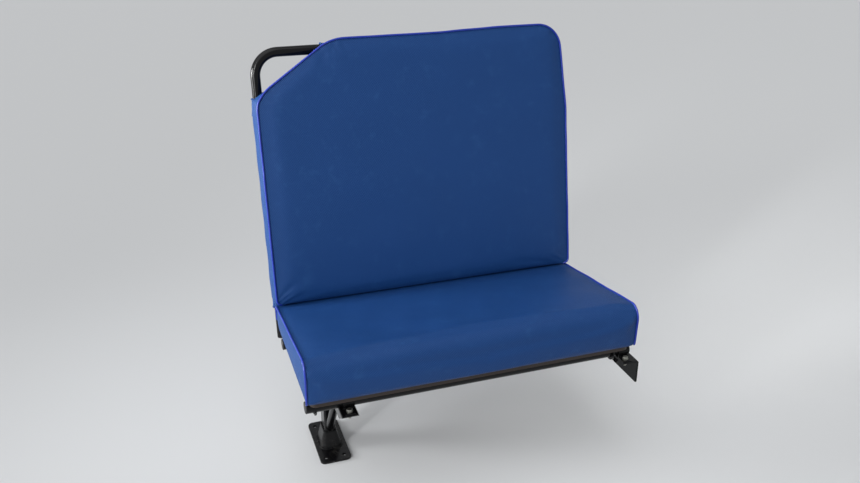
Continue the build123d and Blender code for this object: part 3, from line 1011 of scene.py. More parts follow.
@dataclass
class Backrest(SubAssembly):
    """Padded backrest cover that the grab tube leaves at its cut-off aisle corner."""

    plane: LeaningPlane
    tube_radius: float
    upright_aisle: float
    upright_window: float
    left: float
    right: float
    foot: float
    sides: FourSides = FourSides(across=132, up=124)
    front_depth: float = 0.046
    back_depth: float = 0.032
    seam_front: float = 0.0395
    seam_back: float = 0.0285
    top: float = 0.025
    ridge_drop: float = 0.007
    top_step: float = 0.005
    step_window_in: float = 0.215
    step_run: float = 0.140
    cut_angle: float = math.radians(34)
    cut_low: float = 0.115
    cut_top_bend: float = 0.118
    shoulder_front_bend: float = 0.080
    shoulder_ridge_bend: float = 0.012
    window_bend: float = 0.066
    flare: float = math.radians(4.6)
    flare_low: float = 0.200
    foot_bend: float = 0.018
    side_draw: float = 0.012
    window_draw: float = 0.003
    back_draw: float = 0.007
    soft_bend: float = 0.300
    sag_power: float = 1.7
    boxing_rows: int = 15
    waviness: float = 0.0008
    wave_length: float = 0.085
    wave_slant: tuple[float, float] = (1.7, -0.9)
    slow_height: float = 0.0006
    slow_length: float = 0.16
    fold_count: tuple[int, int] = (9, 13)
    fold_height: float = 0.0004
    fold_rise: float = 0.015
    fold_reach: float = 0.026
    front_rise: float = 0.0060
    front_belly: float = 0.0022
    back_rise: float = 0.0025
    back_belly: float = 0.0010
    edge_reach: float = 0.009
    belly_reach: float = 0.070
    roll: float = 0.016
    roll_fade: float = 0.045
    tent_pull: float = 0.007
    tent_fade: float = 0.012
    tent_side: float = 0.020
    tent_along: float = 0.018
    piping_radius: float = 0.0026
    piping_off: float = 0.0012
    piping_lift: float = 0.0018
    piping_wave: float = 0.00025
    piping_wave_length: float = 0.11
    piping_tuck: float = 0.13
    piping_sink: float = 0.0034
    piping_sink_from: float = 0.012
    piping_back: float = 1.4
    piping_steps: int = 860
    piping_around: int = 14
    hem_radius: float = 0.0021
    hem_off: float = 0.0006
    hem_from: float = 2.3
    hem_turn: tuple[float, float] = (-0.6 * np.pi, 0.75 * np.pi)
    hem_steps: int = 14
    collar_around: int = 96
    collar_steps: int = 18
    collar_clear: float = 0.0003
    collar_off: float = 0.0026
    collar_power: float = 1.5
    collar_turned_in: float = 0.004
    gather_depth: float = 0.0009
    gather_width: float = 0.007
    gather_counts: tuple[int, int] = (9, 14)
    gather_second: float = 0.6
    gather_hem: float = 0.3
    grab_low_collar: float = 0.045
    grab_high_collar: float = 0.050
    foot_collar_in: float = 0.030
    foot_collar_out: float = 0.012
    closing_thick: float = 0.0020
    closing_depth: float = 0.0038
    closing_behind: float = 0.010
    closing_under: float = 0.0012
    closing_in: float = 0.014
    closing_steps: int = 900
    closing_around: int = 16
    closing_wave_length: float = 0.12
    closing_seam: float = 0.004
    stitch: float = 0.0045
    stitch_draw: float = 0.08
    exit_up: float = -0.1115
    exit_across: float = 0.078
    pinned_height: float = 0.003
    swelling: Swelling = Swelling(cap=0.0035)

    def rolled(self, across: Array, up: Array) -> Array:
        """How far the lower front edge is rolled back, so that no seam shows over the cushion.

        It is roll * (1 - sqrt(1 - (1 - d / roll) ** 2)), a quarter circle in the height d above
        the foot, faded out over roll_fade at both sides.

        Args:
            across: X of the points.
            up: Their distance up the lean.

        Returns:
            Metres to take off the distance in front of the tube's plane.
        """
        short = 1 - np.clip((up - self.foot) / self.roll, 0, 1)
        inside = smooth(np.minimum(across - self.left, self.right - across) / self.roll_fade)
        return self.roll * (1 - np.sqrt(1 - short**2)) * inside

    def outline(
        self, side_in: float, window_in: float, top_in: float, shoulder_bend: float
    ) -> RoundedOutline:
        """Outline of one layer of the pad: side, cut-off corner, stepped top, leaning side.

        Args:
            side_in: Draw-in on the aisle side.
            window_in: Draw-in on the window side.
            top_in: Draw-in at the top and along the cut.
            shoulder_bend: Radius where the cut meets the aisle side.

        Returns:
            The outline, anticlockwise from the low aisle corner.
        """
        left = self.left + side_in
        right = self.right - window_in
        top = self.top - top_in
        slope = math.tan(self.cut_angle)
        cut_low = -self.cut_low + side_in * slope - top_in
        flare_in = (self.flare_low + top) * math.tan(self.flare)
        step_top = top + self.top_step
        corners = [
            (left, self.foot, self.foot_bend),
            (right, self.foot, self.foot_bend),
            (right, -self.flare_low, self.soft_bend),
            (right - flare_in, step_top, self.window_bend),
            (self.right - self.step_window_in, step_top, self.soft_bend),
            (self.right - self.step_window_in - self.step_run, top, self.soft_bend),
            (left + (top - cut_low) / slope, top, self.cut_top_bend),
            (left, cut_low, shoulder_bend),
        ]
        table = np.array(corners)
        return RoundedOutline(table[:, :2], table[:, 2])

    def layer(self, side_in: float, window_in: float, top_in: float, shoulder_bend: float) -> Array:
        """One layer's outline as a ring that starts at the low aisle corner."""
        return self.sides.ring(self.outline(side_in, window_in, top_in, shoulder_bend), (0, 1, 3, 6))

    def rings(self, forward: Array) -> Array:
        """Rings of the cover at given distances from the tube's plane.

        Between the tube's plane and the front or back face the outline moves from the ridge's to
        the face's by (distance / depth) ** sag_power, so the boxing is level over the tube and
        rolls in towards both faces.

        Args:
            forward: Distances in front of the tube's plane.

        Returns:
            (rows, ring, 2) points across and up.
        """
        back_drop = self.ridge_drop + self.back_draw
        ridge = self.layer(0.0, 0.0, self.ridge_drop, self.shoulder_ridge_bend)
        front = self.layer(self.side_draw, self.window_draw, 0.0, self.shoulder_front_bend)
        back = self.layer(self.back_draw, self.back_draw, back_drop, self.shoulder_ridge_bend)
        share_front = (np.clip(forward / self.front_depth, 0, None) ** self.sag_power)[:, None, None]
        share_back = (np.clip(-forward / self.back_depth, 0, None) ** self.sag_power)[:, None, None]
        return ridge + share_front * (front - ridge) + share_back * (back - ridge)

    def waved(self, rings: Array, forward: Array, fade: Array) -> Array:
        """Boxing moved in and out by waviness * ripples, square to its outline.

        Args:
            rings: (rows, ring, 2) points across and up.
            forward: Distance of each row in front of the tube's plane.
            fade: (rows, 1) share of the waves, 0 at both seams.

        Returns:
            The moved rings.
        """
        outward = outward_of(np.roll(rings, -1, axis=1) - np.roll(rings, 1, axis=1))
        slanted = np.moveaxis(rings + forward[:, None, None] * self.wave_slant, -1, 0)
        wave = ripples(*slanted, self.wave_length, 21)
        return rings + outward * (self.waviness * fade * wave)[..., None]

    def panel(
        self, ring: Array, seam: float, rise: float, belly: float, seed: int
    ) -> tuple[Array, Array]:
        """Filled face of the cover, crowned between its seams.

        The crown is rise * g(edge_reach) + belly * g(belly_reach), where g(l) is the product over
        the four sides of 1 - exp(-distance / l), with slow ripples and short folds from the corners.

        Args:
            ring: (ring, 2) seam line.
            seam: Distance of the seam in front of the tube's plane; negative behind it.
            rise: Height of the rolled edge.
            belly: Further height in the middle.
            seed: Seed of the ripples.

        Returns:
            Grid of (up + 1, across + 1, 3) local measures (across, up, forward), and the distance
            of each point to the nearest side.
        """
        flat = self.sides.filled(ring)
        x, y = flat[..., 0], flat[..., 1]
        reaches = self.sides.reaches(flat)
        edge = np.prod(1 - np.exp(-reaches / self.edge_reach), axis=0)
        middle = np.prod(1 - np.exp(-reaches / self.belly_reach), axis=0)
        slow = self.slow_height * ripples(x, y, self.slow_length, seed) * middle
        folds = self.corner_folds(flat, seed) * edge
        out = math.copysign(1.0, seam)
        forward = seam + out * (rise * edge + belly * middle + slow + folds)
        if seam > 0:
            forward = forward - self.rolled(x, y)
        return np.stack([x, y, forward], axis=-1), reaches.min(axis=0)

    def corner_folds(self, flat: Array, seed: int) -> Array:
        """Short folds that fan out from the panel's corners.

        Each corner adds fold_height * sin(count * angle + phase) * (r / fold_rise) *
        exp(-r / fold_reach), r and angle being measured from that corner.

        Args:
            flat: Panel grid across and up.
            seed: Seed of the folds' phases.

        Returns:
            Height field in metres.
        """
        draw = np.random.default_rng(seed)
        spots = (flat[0, 0], flat[0, -1], flat[-1, -1], flat[-1, 0])
        total = np.zeros(flat.shape[:2])
        for spot in spots:
            away = flat - spot
            reach = np.linalg.norm(away, axis=-1)
            angle = np.arctan2(away[..., 1], away[..., 0])
            wave = np.sin(draw.integers(*self.fold_count) * angle + draw.uniform(0, 6.28))
            total += self.fold_height * wave * (reach / self.fold_rise) * np.exp(-reach / self.fold_reach)
        return total

    def tented(self, grid: Array) -> Array:
        """Boxing drawn up towards the two places where the tube leaves it.

        A point near an exit moves along the tube by tent_pull * exp(-(distance to the tube's
        line / tent_side) ** 2) * exp(-(distance along it / tent_along) ** 2). The pull fades out
        over tent_fade at both seams.

        Args:
            grid: (rows, ring, 3) across, up, forward.

        Returns:
            The moved grid.
        """
        moved = grid.copy()
        across, up, forward = np.moveaxis(grid, -1, 0)
        seam = np.minimum(forward + self.seam_back, self.seam_front - forward)
        pull = self.tent_pull * smooth(seam / self.tent_fade)
        for axis, side, along, way in (
            (1, across - self.upright_aisle, up - self.exit_up, 1),
            (0, up, across - self.exit_across, -1),
        ):
            off = np.hypot(side, forward)
            near = np.exp(-((off / self.tent_side) ** 2) - (along / self.tent_along) ** 2)
            moved[..., axis] += way * pull * near
        return moved

    def cover(self) -> bpy.types.Object:
        """The closed cover: front panel, boxing and back panel, swelled between its seams."""
        forward = np.linspace(-self.seam_back, self.seam_front, self.boxing_rows)
        share = ((forward + self.seam_back) / (self.seam_front + self.seam_back))[:, None]
        rings = self.waved(self.rings(forward), forward, np.sin(np.pi * share))
        looped = np.concatenate([rings, rings[:, :1]], axis=1)
        depth = forward[:, None] - share * self.rolled(looped[-1, :, 0], looped[-1, :, 1])[None]
        boxing = self.tented(np.concatenate([looped, depth[..., None]], axis=-1))
        along = travelled(looped[self.boxing_rows // 2])
        boxing_map = np.stack(np.broadcast_arrays(along[None], forward[:, None]), axis=-1)
        boxing_reach = np.minimum(forward + self.seam_back, self.seam_front - forward)[:, None]
        front, front_reach = self.panel(rings[-1], self.seam_front, self.front_rise, self.front_belly, 3)
        back, back_reach = self.panel(rings[0], -self.seam_back, self.back_rise, self.back_belly, 4)
        skin = Skin("backrest_cover")
        skin.add(self.placed(boxing), boxing_map, boxing_reach)
        skin.add(self.placed(front), front[..., :2], front_reach)
        skin.add(self.placed(back), back[..., :2], back_reach, turned=True)
        made = skin.object()
        places = vertex_places(made.data)
        seams = nearest_rows(places, self.placed(np.vstack([boxing[0], boxing[-1]])))
        low = places[:, 2] < self.underside(places[:, 1]) + self.pinned_height
        self.swelling.fill(made, seams | low)
        return made

    def underside(self, depth: Array) -> Array:
        """Z of the pad's flat underside at given Y: foot line turned by the lean."""
        sine, cosine = math.sin(self.plane.lean), math.cos(self.plane.lean)
        low_y = self.plane.origin_y + self.foot * sine
        low_z = self.plane.origin_z + self.foot * cosine
        return low_z - (depth - low_y) * sine / cosine

    def placed(self, local: Array) -> Array:
        """Points of a grid of across, up and forward."""
        return self.plane.place(local[..., 0], local[..., 1], local[..., 2])

    def piping(self) -> bpy.types.Object:
        """Piping cord along the front seam, a little outside the seam's corner.

        It runs up one side, over the top and down the other. Both ends turn in under the lower
        corners, where the rolled edge hides them, and sink into the pad to clear the cushion.
        """
        ring = self.rings(np.array([self.seam_front]))[0]
        turned = np.roll(ring, -self.sides.across, axis=0)
        tucked = int(self.sides.across * self.piping_tuck)
        above = turned[: len(ring) - self.sides.across]
        run = np.vstack([ring[self.sides.across - tucked : self.sides.across], above, ring[: tucked + 1]])
        even = resampled(run, self.piping_steps)
        outward = outward_of(np.gradient(even, axis=0))
        wave = self.piping_wave * ripples(even[:, 0], even[:, 1], self.piping_wave_length, 8)
        low = (self.foot + self.piping_sink_from - even[:, 1]) / self.piping_sink_from
        line = even + outward * (self.piping_off + wave - self.piping_sink * smooth(low))[:, None]
        back = self.piping_back * self.rolled(even[:, 0], even[:, 1])
        path = self.plane.place(line[:, 0], line[:, 1], self.seam_front + self.piping_lift + wave - back)
        lead = outward[:, :1] * [[1.0, 0.0, 0.0]] + outward[:, 1:] * self.plane.upward()
        skin = Skin("backrest_piping")
        skin.add(*carried(path, lead, blunt(path, self.piping_radius), self.piping_around))
        return skin.object(smooth_angle=60)

    def sleeve(self, collar: Collar) -> bpy.types.Object:
        """Gathered collar of cloth round the tube, with a rolled hem at its end.

        Its outer radius falls from base to hem by flare * (1 - distance / length) ** collar_power.
        Folds of gather_depth * (sin(count_1 * angle + phase) + gather_second * sin(count_2 *
        angle + phase)) are deepest at the hem's stitches, and the hem is a roll of hem_radius
        that turns in to the tube.

        Args:
            collar: Where it is and how it is shaped.

        Returns:
            The collar, closed by an inner wall beside the tube.
        """
        draw = np.random.default_rng(collar.seed)
        base, hem = (self.plane.place(*spot, 0.0) for spot in (collar.base, collar.hem))
        reach = np.linalg.norm(hem - base)
        angle = np.linspace(0.0, 2 * np.pi, self.collar_around + 1)
        turn = np.linspace(*self.hem_turn, self.hem_steps)
        body = np.linspace(0, reach - self.hem_from * self.hem_radius, self.collar_steps)
        roll = reach - self.hem_radius * (1 - np.sin(turn))
        along = np.concatenate([body, roll, [reach - self.collar_turned_in, 0.0]])
        flared = collar.flare * (1 - body / body[-1]) ** self.collar_power
        outer = self.tube_radius + self.collar_off + flared
        rolled = self.tube_radius + self.hem_off + self.hem_radius + self.hem_radius * np.cos(turn)
        inner = np.full(2, self.tube_radius + self.collar_clear)
        gather = np.exp(-(((along - body[-1]) / self.gather_width) ** 2)) * self.gather_depth
        gather[len(body) :] *= self.gather_hem
        gather[-2:] = 0
        wide, close = (np.sin(count * angle + draw.uniform(0, 6)) for count in self.gather_counts)
        wave = wide + self.gather_second * close
        radius = np.concatenate([outer, rolled, inner])[:, None] + gather[:, None] * wave[None]
        first, second = frames_along(np.stack([base, hem]), self.plane.forward(), closed=False)
        middle = base + (along / reach)[:, None] * (hem - base)
        grid = middle[:, None] + radius[..., None] * spokes(angle, first[:1], second[:1])
        grid = np.concatenate([grid, grid[:1]])
        along = np.append(along, along[0])
        cloth = np.stack(np.broadcast_arrays(angle[None] * self.tube_radius, along[:, None]), axis=-1)
        skin = Skin(collar.name)
        skin.add(grid, cloth, np.abs(along - body[-1])[:, None])
        return skin.object(smooth_angle=60)

    def sleeves(self) -> list[bpy.types.Object]:
        """Collars at the two exits of the grab tube and at the uprights under the pad."""
        aisle, window = self.upright_aisle, self.upright_window
        inner_up = self.exit_up - self.grab_low_collar
        inner_x = self.exit_across + self.grab_high_collar
        low, high = self.foot - self.foot_collar_out, self.foot + self.foot_collar_in
        collars = (
            Collar("collar_grab_low", (aisle, inner_up), (aisle, self.exit_up), flare=0.004, seed=5),
            Collar("collar_grab_high", (inner_x, 0.0), (self.exit_across, 0.0), flare=0.003, seed=6),
            Collar("collar_foot_aisle", (aisle, high), (aisle, low), flare=0.0006, seed=7),
            Collar("collar_foot_window", (window, high), (window, low), flare=0.0006, seed=8),
        )
        return [self.sleeve(collar) for collar in collars]

    def closing_hem(self) -> bpy.types.Object:
        """Folded hem that closes the cover under the pad, from one upright to the other.

        Its section is an ellipse with half sizes closing_thick and closing_depth, drawn in between
        the stitches by a factor of 1 - stitch_draw * (1 - |sin(pi * x / stitch)|).
        """
        low_x, high_x = self.upright_aisle + self.closing_in, self.upright_window - self.closing_in
        x = np.linspace(low_x, high_x, self.closing_steps)
        wave = self.slow_height * ripples(x, x, self.closing_wave_length, 31)
        path = self.plane.place(x, self.foot - self.closing_under, wave - self.closing_behind)
        angle = np.linspace(0.0, 2 * np.pi, self.closing_around + 1)
        thick, depth = self.closing_thick, self.closing_depth
        section = thick * depth / np.hypot(depth * np.cos(angle), thick * np.sin(angle))
        drawn = 1 - self.stitch_draw * (1 - np.abs(np.sin(np.pi * x / self.stitch)))
        drawn *= blunt(path, depth) / depth
        grid, cloth = carried(path, self.plane.forward(), section * drawn[:, None], self.closing_around)
        skin = Skin("closing_hem")
        skin.add(grid, cloth, self.closing_seam)
        return skin.object(smooth_angle=60)

    def build(self) -> list[bpy.types.Object]:
        """Makes the cover, the piping, the collars and the closing hem."""
        cover = self.keep(self.cover(), CoatedCloth(), Slot.UPHOLSTERY)
        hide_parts("backrest_pad")
        piping = self.keep(self.piping(), PipingVinyl(), Slot.UPHOLSTERY)
        hems = [*self.sleeves(), self.closing_hem()]
        return [cover, piping, *(self.keep(piece, CoatedCloth(), Slot.UPHOLSTERY) for piece in hems)]


@dataclass
class Cushion(SubAssembly):
    """Padded bench cushion: a wedge with a rolled front, piped along its side edges."""

    left: float
    right: float
    front: float
    rear: float
    low: float
    rear_height: float = 0.062
    rise: float = 0.056
    depth: float = 0.400
    rear_reach: float = 0.015
    front_lean: float = 0.008
    roll_bend: float = 0.036
    heel_bend: float = 0.030
    edge_bend: float = 0.014
    back_bend: float = 0.0045
    plan_bend: float = 0.020
    lip_left: float = 0.0
    lip_right: float = 0.0
    upright_gap: float = 0.0045
    lip_reach: float = 0.030
    lip_drop: float = 0.046
    lip_power: float = 0.8
    lip_fade: float = 0.003
    lip_ends: float = 0.40
    lip_ends_fade: float = 0.014
    lip_fall: float = 0.165
    level_rear: float = 0.010
    level_fade: float = 0.060
    front_fade: float = 0.06
    seam_in: float = 0.004
    side_bulge: float = 0.004
    bulge_reach: float = 0.012
    crown: float = 0.003
    dent: float = 0.003
    dent_size: tuple[float, float] = (0.16, 0.13)
    slow_height: float = 0.0007
    slow_length: float = 0.15
    column_count: int = 157
    column_edge: float = 0.012
    column_shares: tuple[float, ...] = (0.0, 0.045, 0.085, 0.125, 0.875, 0.915, 0.955, 1.0)
    sides: FourSides = FourSides(across=64, up=26)
    piping_radius: float = 0.0026
    piping_off: float = 0.0012
    piping_wave: float = 0.0002
    piping_wave_length: float = 0.09
    piping_steps: int = 360
    piping_around: int = 14
    pinned_rear: float = 0.016
    pinned_height: float = 0.002
    swelling: Swelling = Swelling(cap=0.005)

    def profile(self) -> Array:
        """Side view as a ring of (y, z) points, from the low front corner towards the rear."""
        corners = np.array([
            (self.front + self.front_lean, self.low),
            (self.rear, self.low),
            (self.rear, self.rear_top()),
            (self.front, self.low + self.rear_height + self.rise),
        ])
        bends = np.array([self.edge_bend, self.heel_bend, self.back_bend, self.roll_bend])
        return self.sides.ring(RoundedOutline(corners, bends), (0, 1, 2, 3))

    def band(self) -> tuple[Array, Array]:
        """Top, front, bottom and rear of the cover in one band, seam to seam.

        Towards each side the front draws in along a quarter circle of plan_bend. The top stands
        up by crown * (1 - (2 x / width) ** 4) in the middle of the bench, less two shallow
        sitting places, up to level_rear in front of the rear. Between lip_left and lip_right the
        upper rear reaches lip_reach further, falling by lip_fall of the reach, and beside them
        lip_ends of that, fading out lip_drop below the top. All of it lies under the backrest.

        Returns:
            Grid of (ring + 1, columns, 3) points and its cloth map, which measures each column
            from the low front edge.
        """
        ring = self.profile()
        looped = np.vstack([ring, ring[:1]])
        x = self.columns()
        inset = np.minimum(x - self.left, self.right - x)
        short = np.clip(self.plan_bend - inset, 0, None)
        draw = self.plan_bend - np.sqrt(np.clip(self.plan_bend**2 - short**2, 0, None))
        y, z = looped[:, :1], looped[:, 1:]
        frontness = np.clip((self.front + self.front_fade - y) / self.front_fade, 0, 1) ** 2
        level = np.clip((z - self.low) / self.level_fade, 0, 1)
        middle = 1 - np.abs((2 * x - self.left - self.right) / (self.right - self.left)) ** 4
        rearness = np.clip((y - self.rear + self.level_rear) / (self.level_rear - self.back_bend), 0, 1)
        share = level * smooth((self.rear - self.level_rear - y) / self.level_fade)
        slow = self.slow_height * ripples(*np.broadcast_arrays(x[None], y), self.slow_length, 12)
        crowning = share * (self.crown * middle[None] - self.dents(x[None], y) + slow)
        under = np.clip(1 - (self.rear_top() - z) / self.lip_drop, 0, 1) ** self.lip_power
        lip = smooth((x - self.lip_left) / self.lip_fade) * smooth((self.lip_right - x) / self.lip_fade)
        lip = np.maximum(lip, self.lip_ends * smooth(inset / self.lip_ends_fade))
        carried_on = self.lip_reach * under * rearness**2 * lip[None]
        depth = y + frontness * draw[None] + carried_on
        height = z + crowning - self.lip_fall * carried_on
        grid = np.stack([np.broadcast_to(x[None], depth.shape), depth, height], axis=-1)
        lipped = np.stack([y + carried_on, z - self.lip_fall * carried_on], axis=-1)
        spans = np.linalg.norm(np.diff(lipped, axis=0), axis=-1)
        along = np.concatenate([np.cumsum(spans[::-1], axis=0)[::-1], np.zeros((1, len(x)))])
        cloth = np.stack(np.broadcast_arrays(x[None], along), axis=-1)
        return grid, cloth

    def rear_top(self) -> float:
        """Z of the cushion's upper rear edge."""
        slope = self.rise / self.depth
        return self.low + self.rear_height - self.rear_reach * slope

    def columns(self) -> Array:
        """X of the band's columns, closer together at the sides and at the lip's ends."""
        left, right = self.left + self.seam_in, self.right - self.seam_in
        spots = [
            left, left + self.column_edge, self.lip_left, self.lip_left + self.lip_fade,
            self.lip_right - self.lip_fade, self.lip_right, right - self.column_edge, right,
        ]
        return np.interp(np.linspace(0, 1, self.column_count), self.column_shares, spots)

    def dents(self, x: Array, y: Array) -> Array:
        """Two shallow sitting places: dent * exp(-(dx / wide) ** 2 - (dy / deep) ** 2) each."""
        quarter = (self.right - self.left) / 4
        middle_y = (self.front + self.rear) / 2
        wide, deep = self.dent_size
        total = np.zeros(np.broadcast(x, y).shape)
        for middle_x in (self.left + quarter, self.right - quarter):
            total += self.dent * np.exp(-(((x - middle_x) / wide) ** 2) - ((y - middle_y) / deep) ** 2)
        return total

    def side(self, edge: Array, outward: float) -> tuple[Array, Array]:
        """Side boxing inside the band's edge, bulged outwards.

        The bulge is side_bulge times the product over the four sides of
        1 - exp(-distance / bulge_reach).

        Args:
            edge: (ring, 3) seam points.
            outward: -1 on the aisle side, 1 on the window side.

        Returns:
            Grid of points and the distance of each to the seam.
        """
        grid = self.sides.filled(edge)
        reaches = self.sides.reaches(grid)
        rounded = np.prod(1 - np.exp(-reaches / self.bulge_reach), axis=0)
        grid[..., 0] += outward * self.side_bulge * rounded
        return grid, reaches.min(axis=0)

    def cover(self) -> bpy.types.Object:
        """The closed cover, swelled between its side seams, its lip and its flat bottom."""
        grid, cloth = self.band()
        across = grid[0, :, 0]
        skin = Skin("cushion_cover")
        skin.add(grid, cloth, np.minimum(across - across[0], across[-1] - across)[None], turned=True)
        left, left_reach = self.side(grid[:-1, 0], -1.0)
        right, right_reach = self.side(grid[:-1, -1], 1.0)
        skin.add(left, left[..., 1:], left_reach, turned=True)
        skin.add(right, right[..., 1:], right_reach)
        made = skin.object()
        places = vertex_places(made.data)
        seams = nearest_rows(places, np.vstack([grid[:, 0], grid[:, -1]]))
        rear = places[:, 1] > self.rear - self.pinned_rear
        self.swelling.fill(made, seams | rear | (places[:, 2] < self.low + self.pinned_height))
        return made

    def piping(self, name: str, column: int, outward: float) -> bpy.types.Object:
        """Piping along one side seam, from the rear over the top and the roll to the low front.

        Args:
            name: Piece name.
            column: Column of the band that is the seam, 0 or -1.
            outward: -1 on the aisle side, 1 on the window side.

        Returns:
            The piping, with rounded ends.
        """
        grid, _ = self.band()
        start = self.sides.across + self.sides.up // 3
        line = resampled(grid[start:, column], self.piping_steps)
        middle = line.mean(axis=0)
        lead = line - middle
        lead[:, 0] = 0
        lead /= np.linalg.norm(lead, axis=1, keepdims=True)
        wave = self.piping_wave * ripples(line[:, 1], line[:, 2], self.piping_wave_length, 15)
        path = line + lead * (self.piping_off + wave[:, None])
        path[:, 0] += outward * self.piping_off
        skin = Skin(name)
        skin.add(*carried(path, lead, blunt(path, self.piping_radius), self.piping_around))
        return skin.object(smooth_angle=60)

    def build(self) -> list[bpy.types.Object]:
        """Makes the cover and both pipings."""
        cover = self.keep(self.cover(), CoatedCloth(), Slot.UPHOLSTERY)
        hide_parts("seat_cushion")
        aisle = self.keep(self.piping("cushion_piping_aisle", 0, -1.0), PipingVinyl(), Slot.UPHOLSTERY)
        window = self.keep(self.piping("cushion_piping_window", -1, 1.0), PipingVinyl(), Slot.UPHOLSTERY)
        return [cover, aisle, window]


@dataclass
class GrabTube(SubAssembly):
    """Bent tube of the backrest, whose bare corner is the grab handle."""

    plane: LeaningPlane
    radius: float
    left: float
    right: float
    low_end: float
    bend: float = 0.060
    wall: float = 0.002
    rows: int = 420
    around: int = 36

    def path(self) -> Array:
        """Middle line: up the aisle upright, across and down the window upright."""
        left, right, low = self.left, self.right, self.low_end
        corners = np.array([(left, 0), (left, low), (right, low), (right, 0)])
        outline = RoundedOutline(corners, np.array([self.bend, 0.0, 0.0, self.bend]))
        first = outline.arc_steps + outline.run_steps
        dense = np.roll(outline.dense(), -2 * first, axis=0)
        line = resampled(dense[: 3 * first + 1], self.rows)
        return self.plane.place(line[:, 0], line[:, 1], 0.0)

    def tube(self) -> bpy.types.Object:
        """Round section carried along the path outside, and back inside the wall."""
        path = self.path()
        outer, inner = (
            carried(path, self.plane.forward(), radius, self.around)[0]
            for radius in (self.radius, self.radius - self.wall)
        )
        skin = Skin("grab_tube")
        skin.add(np.concatenate([outer, inner[::-1], outer[:1]]))
        return skin.object(smooth_angle=50)

    def build(self) -> list[bpy.types.Object]:
        """Makes the tube."""
        tube = self.keep(self.tube(), PowderCoat(), Slot.BLACK_PAINT)
        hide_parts("back_frame_tube")
        return [tube]


@dataclass(frozen=True)
class Bolting:
    """One bolt through a strap's ear: where it stands and what it clamps."""

    spot: tuple[float, float]
    top: float
    grip: float


@dataclass
class Fasteners(SubAssembly):
    """Bolts with washers and locking nuts in the straps, and screws up into the board."""

    bolts: list[Bolting]
    screws: list[tuple[float, float, float]]
    flats: float = 0.013
    face: float = 0.0062
    edge: float = 0.0002
    chamfer: float = 0.0004
    head_height: float = 0.0053
    head_foot: float = 0.0003
    head_chamfer: float = 0.0010
    washer_radius: float = 0.0080
    washer_thick: float = 0.0016
    shank: float = 0.0040
    thread_depth: float = 0.0005
    thread_pitch: float = 0.0006
    thread_rows: int = 5
    end_taper: float = 0.0010
    end_height: float = 0.0028
    nut_height: float = 0.0056
    nut_chamfer: float = 0.0008
    nut_collar: float = 0.0057
    collar_height: float = 0.0022
    collar_bend: float = 0.0006
    collar_gap: float = 0.0003
    screw_flats: float = 0.008
    screw_flange: float = 0.0062
    screw_rim: float = 0.0006
    screw_foot: tuple[float, float] = (0.0011, 0.0013)
    screw_crown: float = 0.0038
    screw_height: float = 0.0044
    around: int = 48

    def head(self) -> Array:
        """Hexagon head on its washer face, the corners chamfered by a cone."""
        wide, high, face = self.flats / math.sqrt(3), self.head_height, self.face
        profile = np.array([
            (0, 0), (face - self.edge, 0), (face, self.head_foot), (wide, self.chamfer),
            (wide, high - self.head_chamfer), (face, high), (face - self.edge, high), (0, high),
        ])
        return turned_profile(profile, self.around, hexagon(self.flats, self.around)[None])

    def washer(self) -> Array:
        """Flat washer with broken edges, closed over the shank."""
        r, t, edge = self.washer_radius, self.washer_thick, self.edge
        profile = np.array([(0, 0), (r - edge, 0), (r, edge), (r, t - edge), (r - edge, t), (0, t)])
        return turned_profile(profile, self.around)

    def nut(self) -> Array:
        """Locking nut with a round collar and the threaded end of the bolt, upwards."""
        wide, high, collar = self.flats / math.sqrt(3), self.nut_height, self.nut_collar
        top, shank, end = high + self.collar_height, self.shank, high + self.collar_height + self.end_height
        bend, gap = self.collar_bend, self.collar_gap
        nut = [
            (0, 0), (self.face - self.edge / 2, 0), (wide, self.chamfer), (wide, high - self.nut_chamfer),
            (self.face, high - self.edge), (collar, high), (collar, top - bend),
            (collar - bend, top), (shank + gap, top), (shank - gap, top - 2 * self.edge),
        ]
        ridges = [
            (shank - self.thread_depth * (row % 2), top - self.edge + self.thread_pitch * row)
            for row in range(self.thread_rows)
        ]
        tip = [(shank - self.end_taper, end), (0, end)]
        profile = np.array(nut + ridges + tip)
        return turned_profile(profile, self.around, hexagon(self.flats, self.around)[None])

    def screw(self) -> Array:
        """Flanged hexagon head of a board screw, upwards."""
        wide, flange, high = self.screw_flats / math.sqrt(3), self.screw_flange, self.screw_height
        rim, (foot, hexagon_foot) = self.screw_rim, self.screw_foot
        round_rows = [(0, 0), (flange, 0), (flange, rim), (flange - rim, foot)]
        hexagon_rows = [(wide, hexagon_foot), (wide, high - rim), (self.screw_crown, high), (0, high)]
        profile = np.array(round_rows + hexagon_rows)
        limit = np.tile(hexagon(self.screw_flats, self.around), (len(profile), 1))
        limit[: len(round_rows)] = flange
        return turned_profile(profile, self.around, limit)

    def bolted(self) -> bpy.types.Object:
        """All bolts, washers and nuts of the straps in one mesh."""
        skin = Skin("strap_bolts")
        for bolt in self.bolts:
            place = np.array([*bolt.spot, bolt.top])
            skin.add(self.washer() + place)
            skin.add(self.head() + place + [0, 0, self.washer_thick])
            skin.add(self.nut() * [1, 1, -1] + place - [0, 0, bolt.grip], turned=True)
        return skin.object(smooth_angle=32)

    def screwed(self) -> bpy.types.Object:
        """All board screws in one mesh, their heads downwards."""
        skin = Skin("board_screws")
        for spot in self.screws:
            skin.add(self.screw() * [1, 1, -1] + spot, turned=True)
        return skin.object(smooth_angle=32)

    def build(self) -> list[bpy.types.Object]:
        """Makes the bolts and the screws."""
        return [
            self.keep(self.bolted(), ZincPlate(), Slot.BLACK_PAINT),
            self.keep(self.screwed(), ZincPlate(), Slot.BLACK_PAINT),
        ]


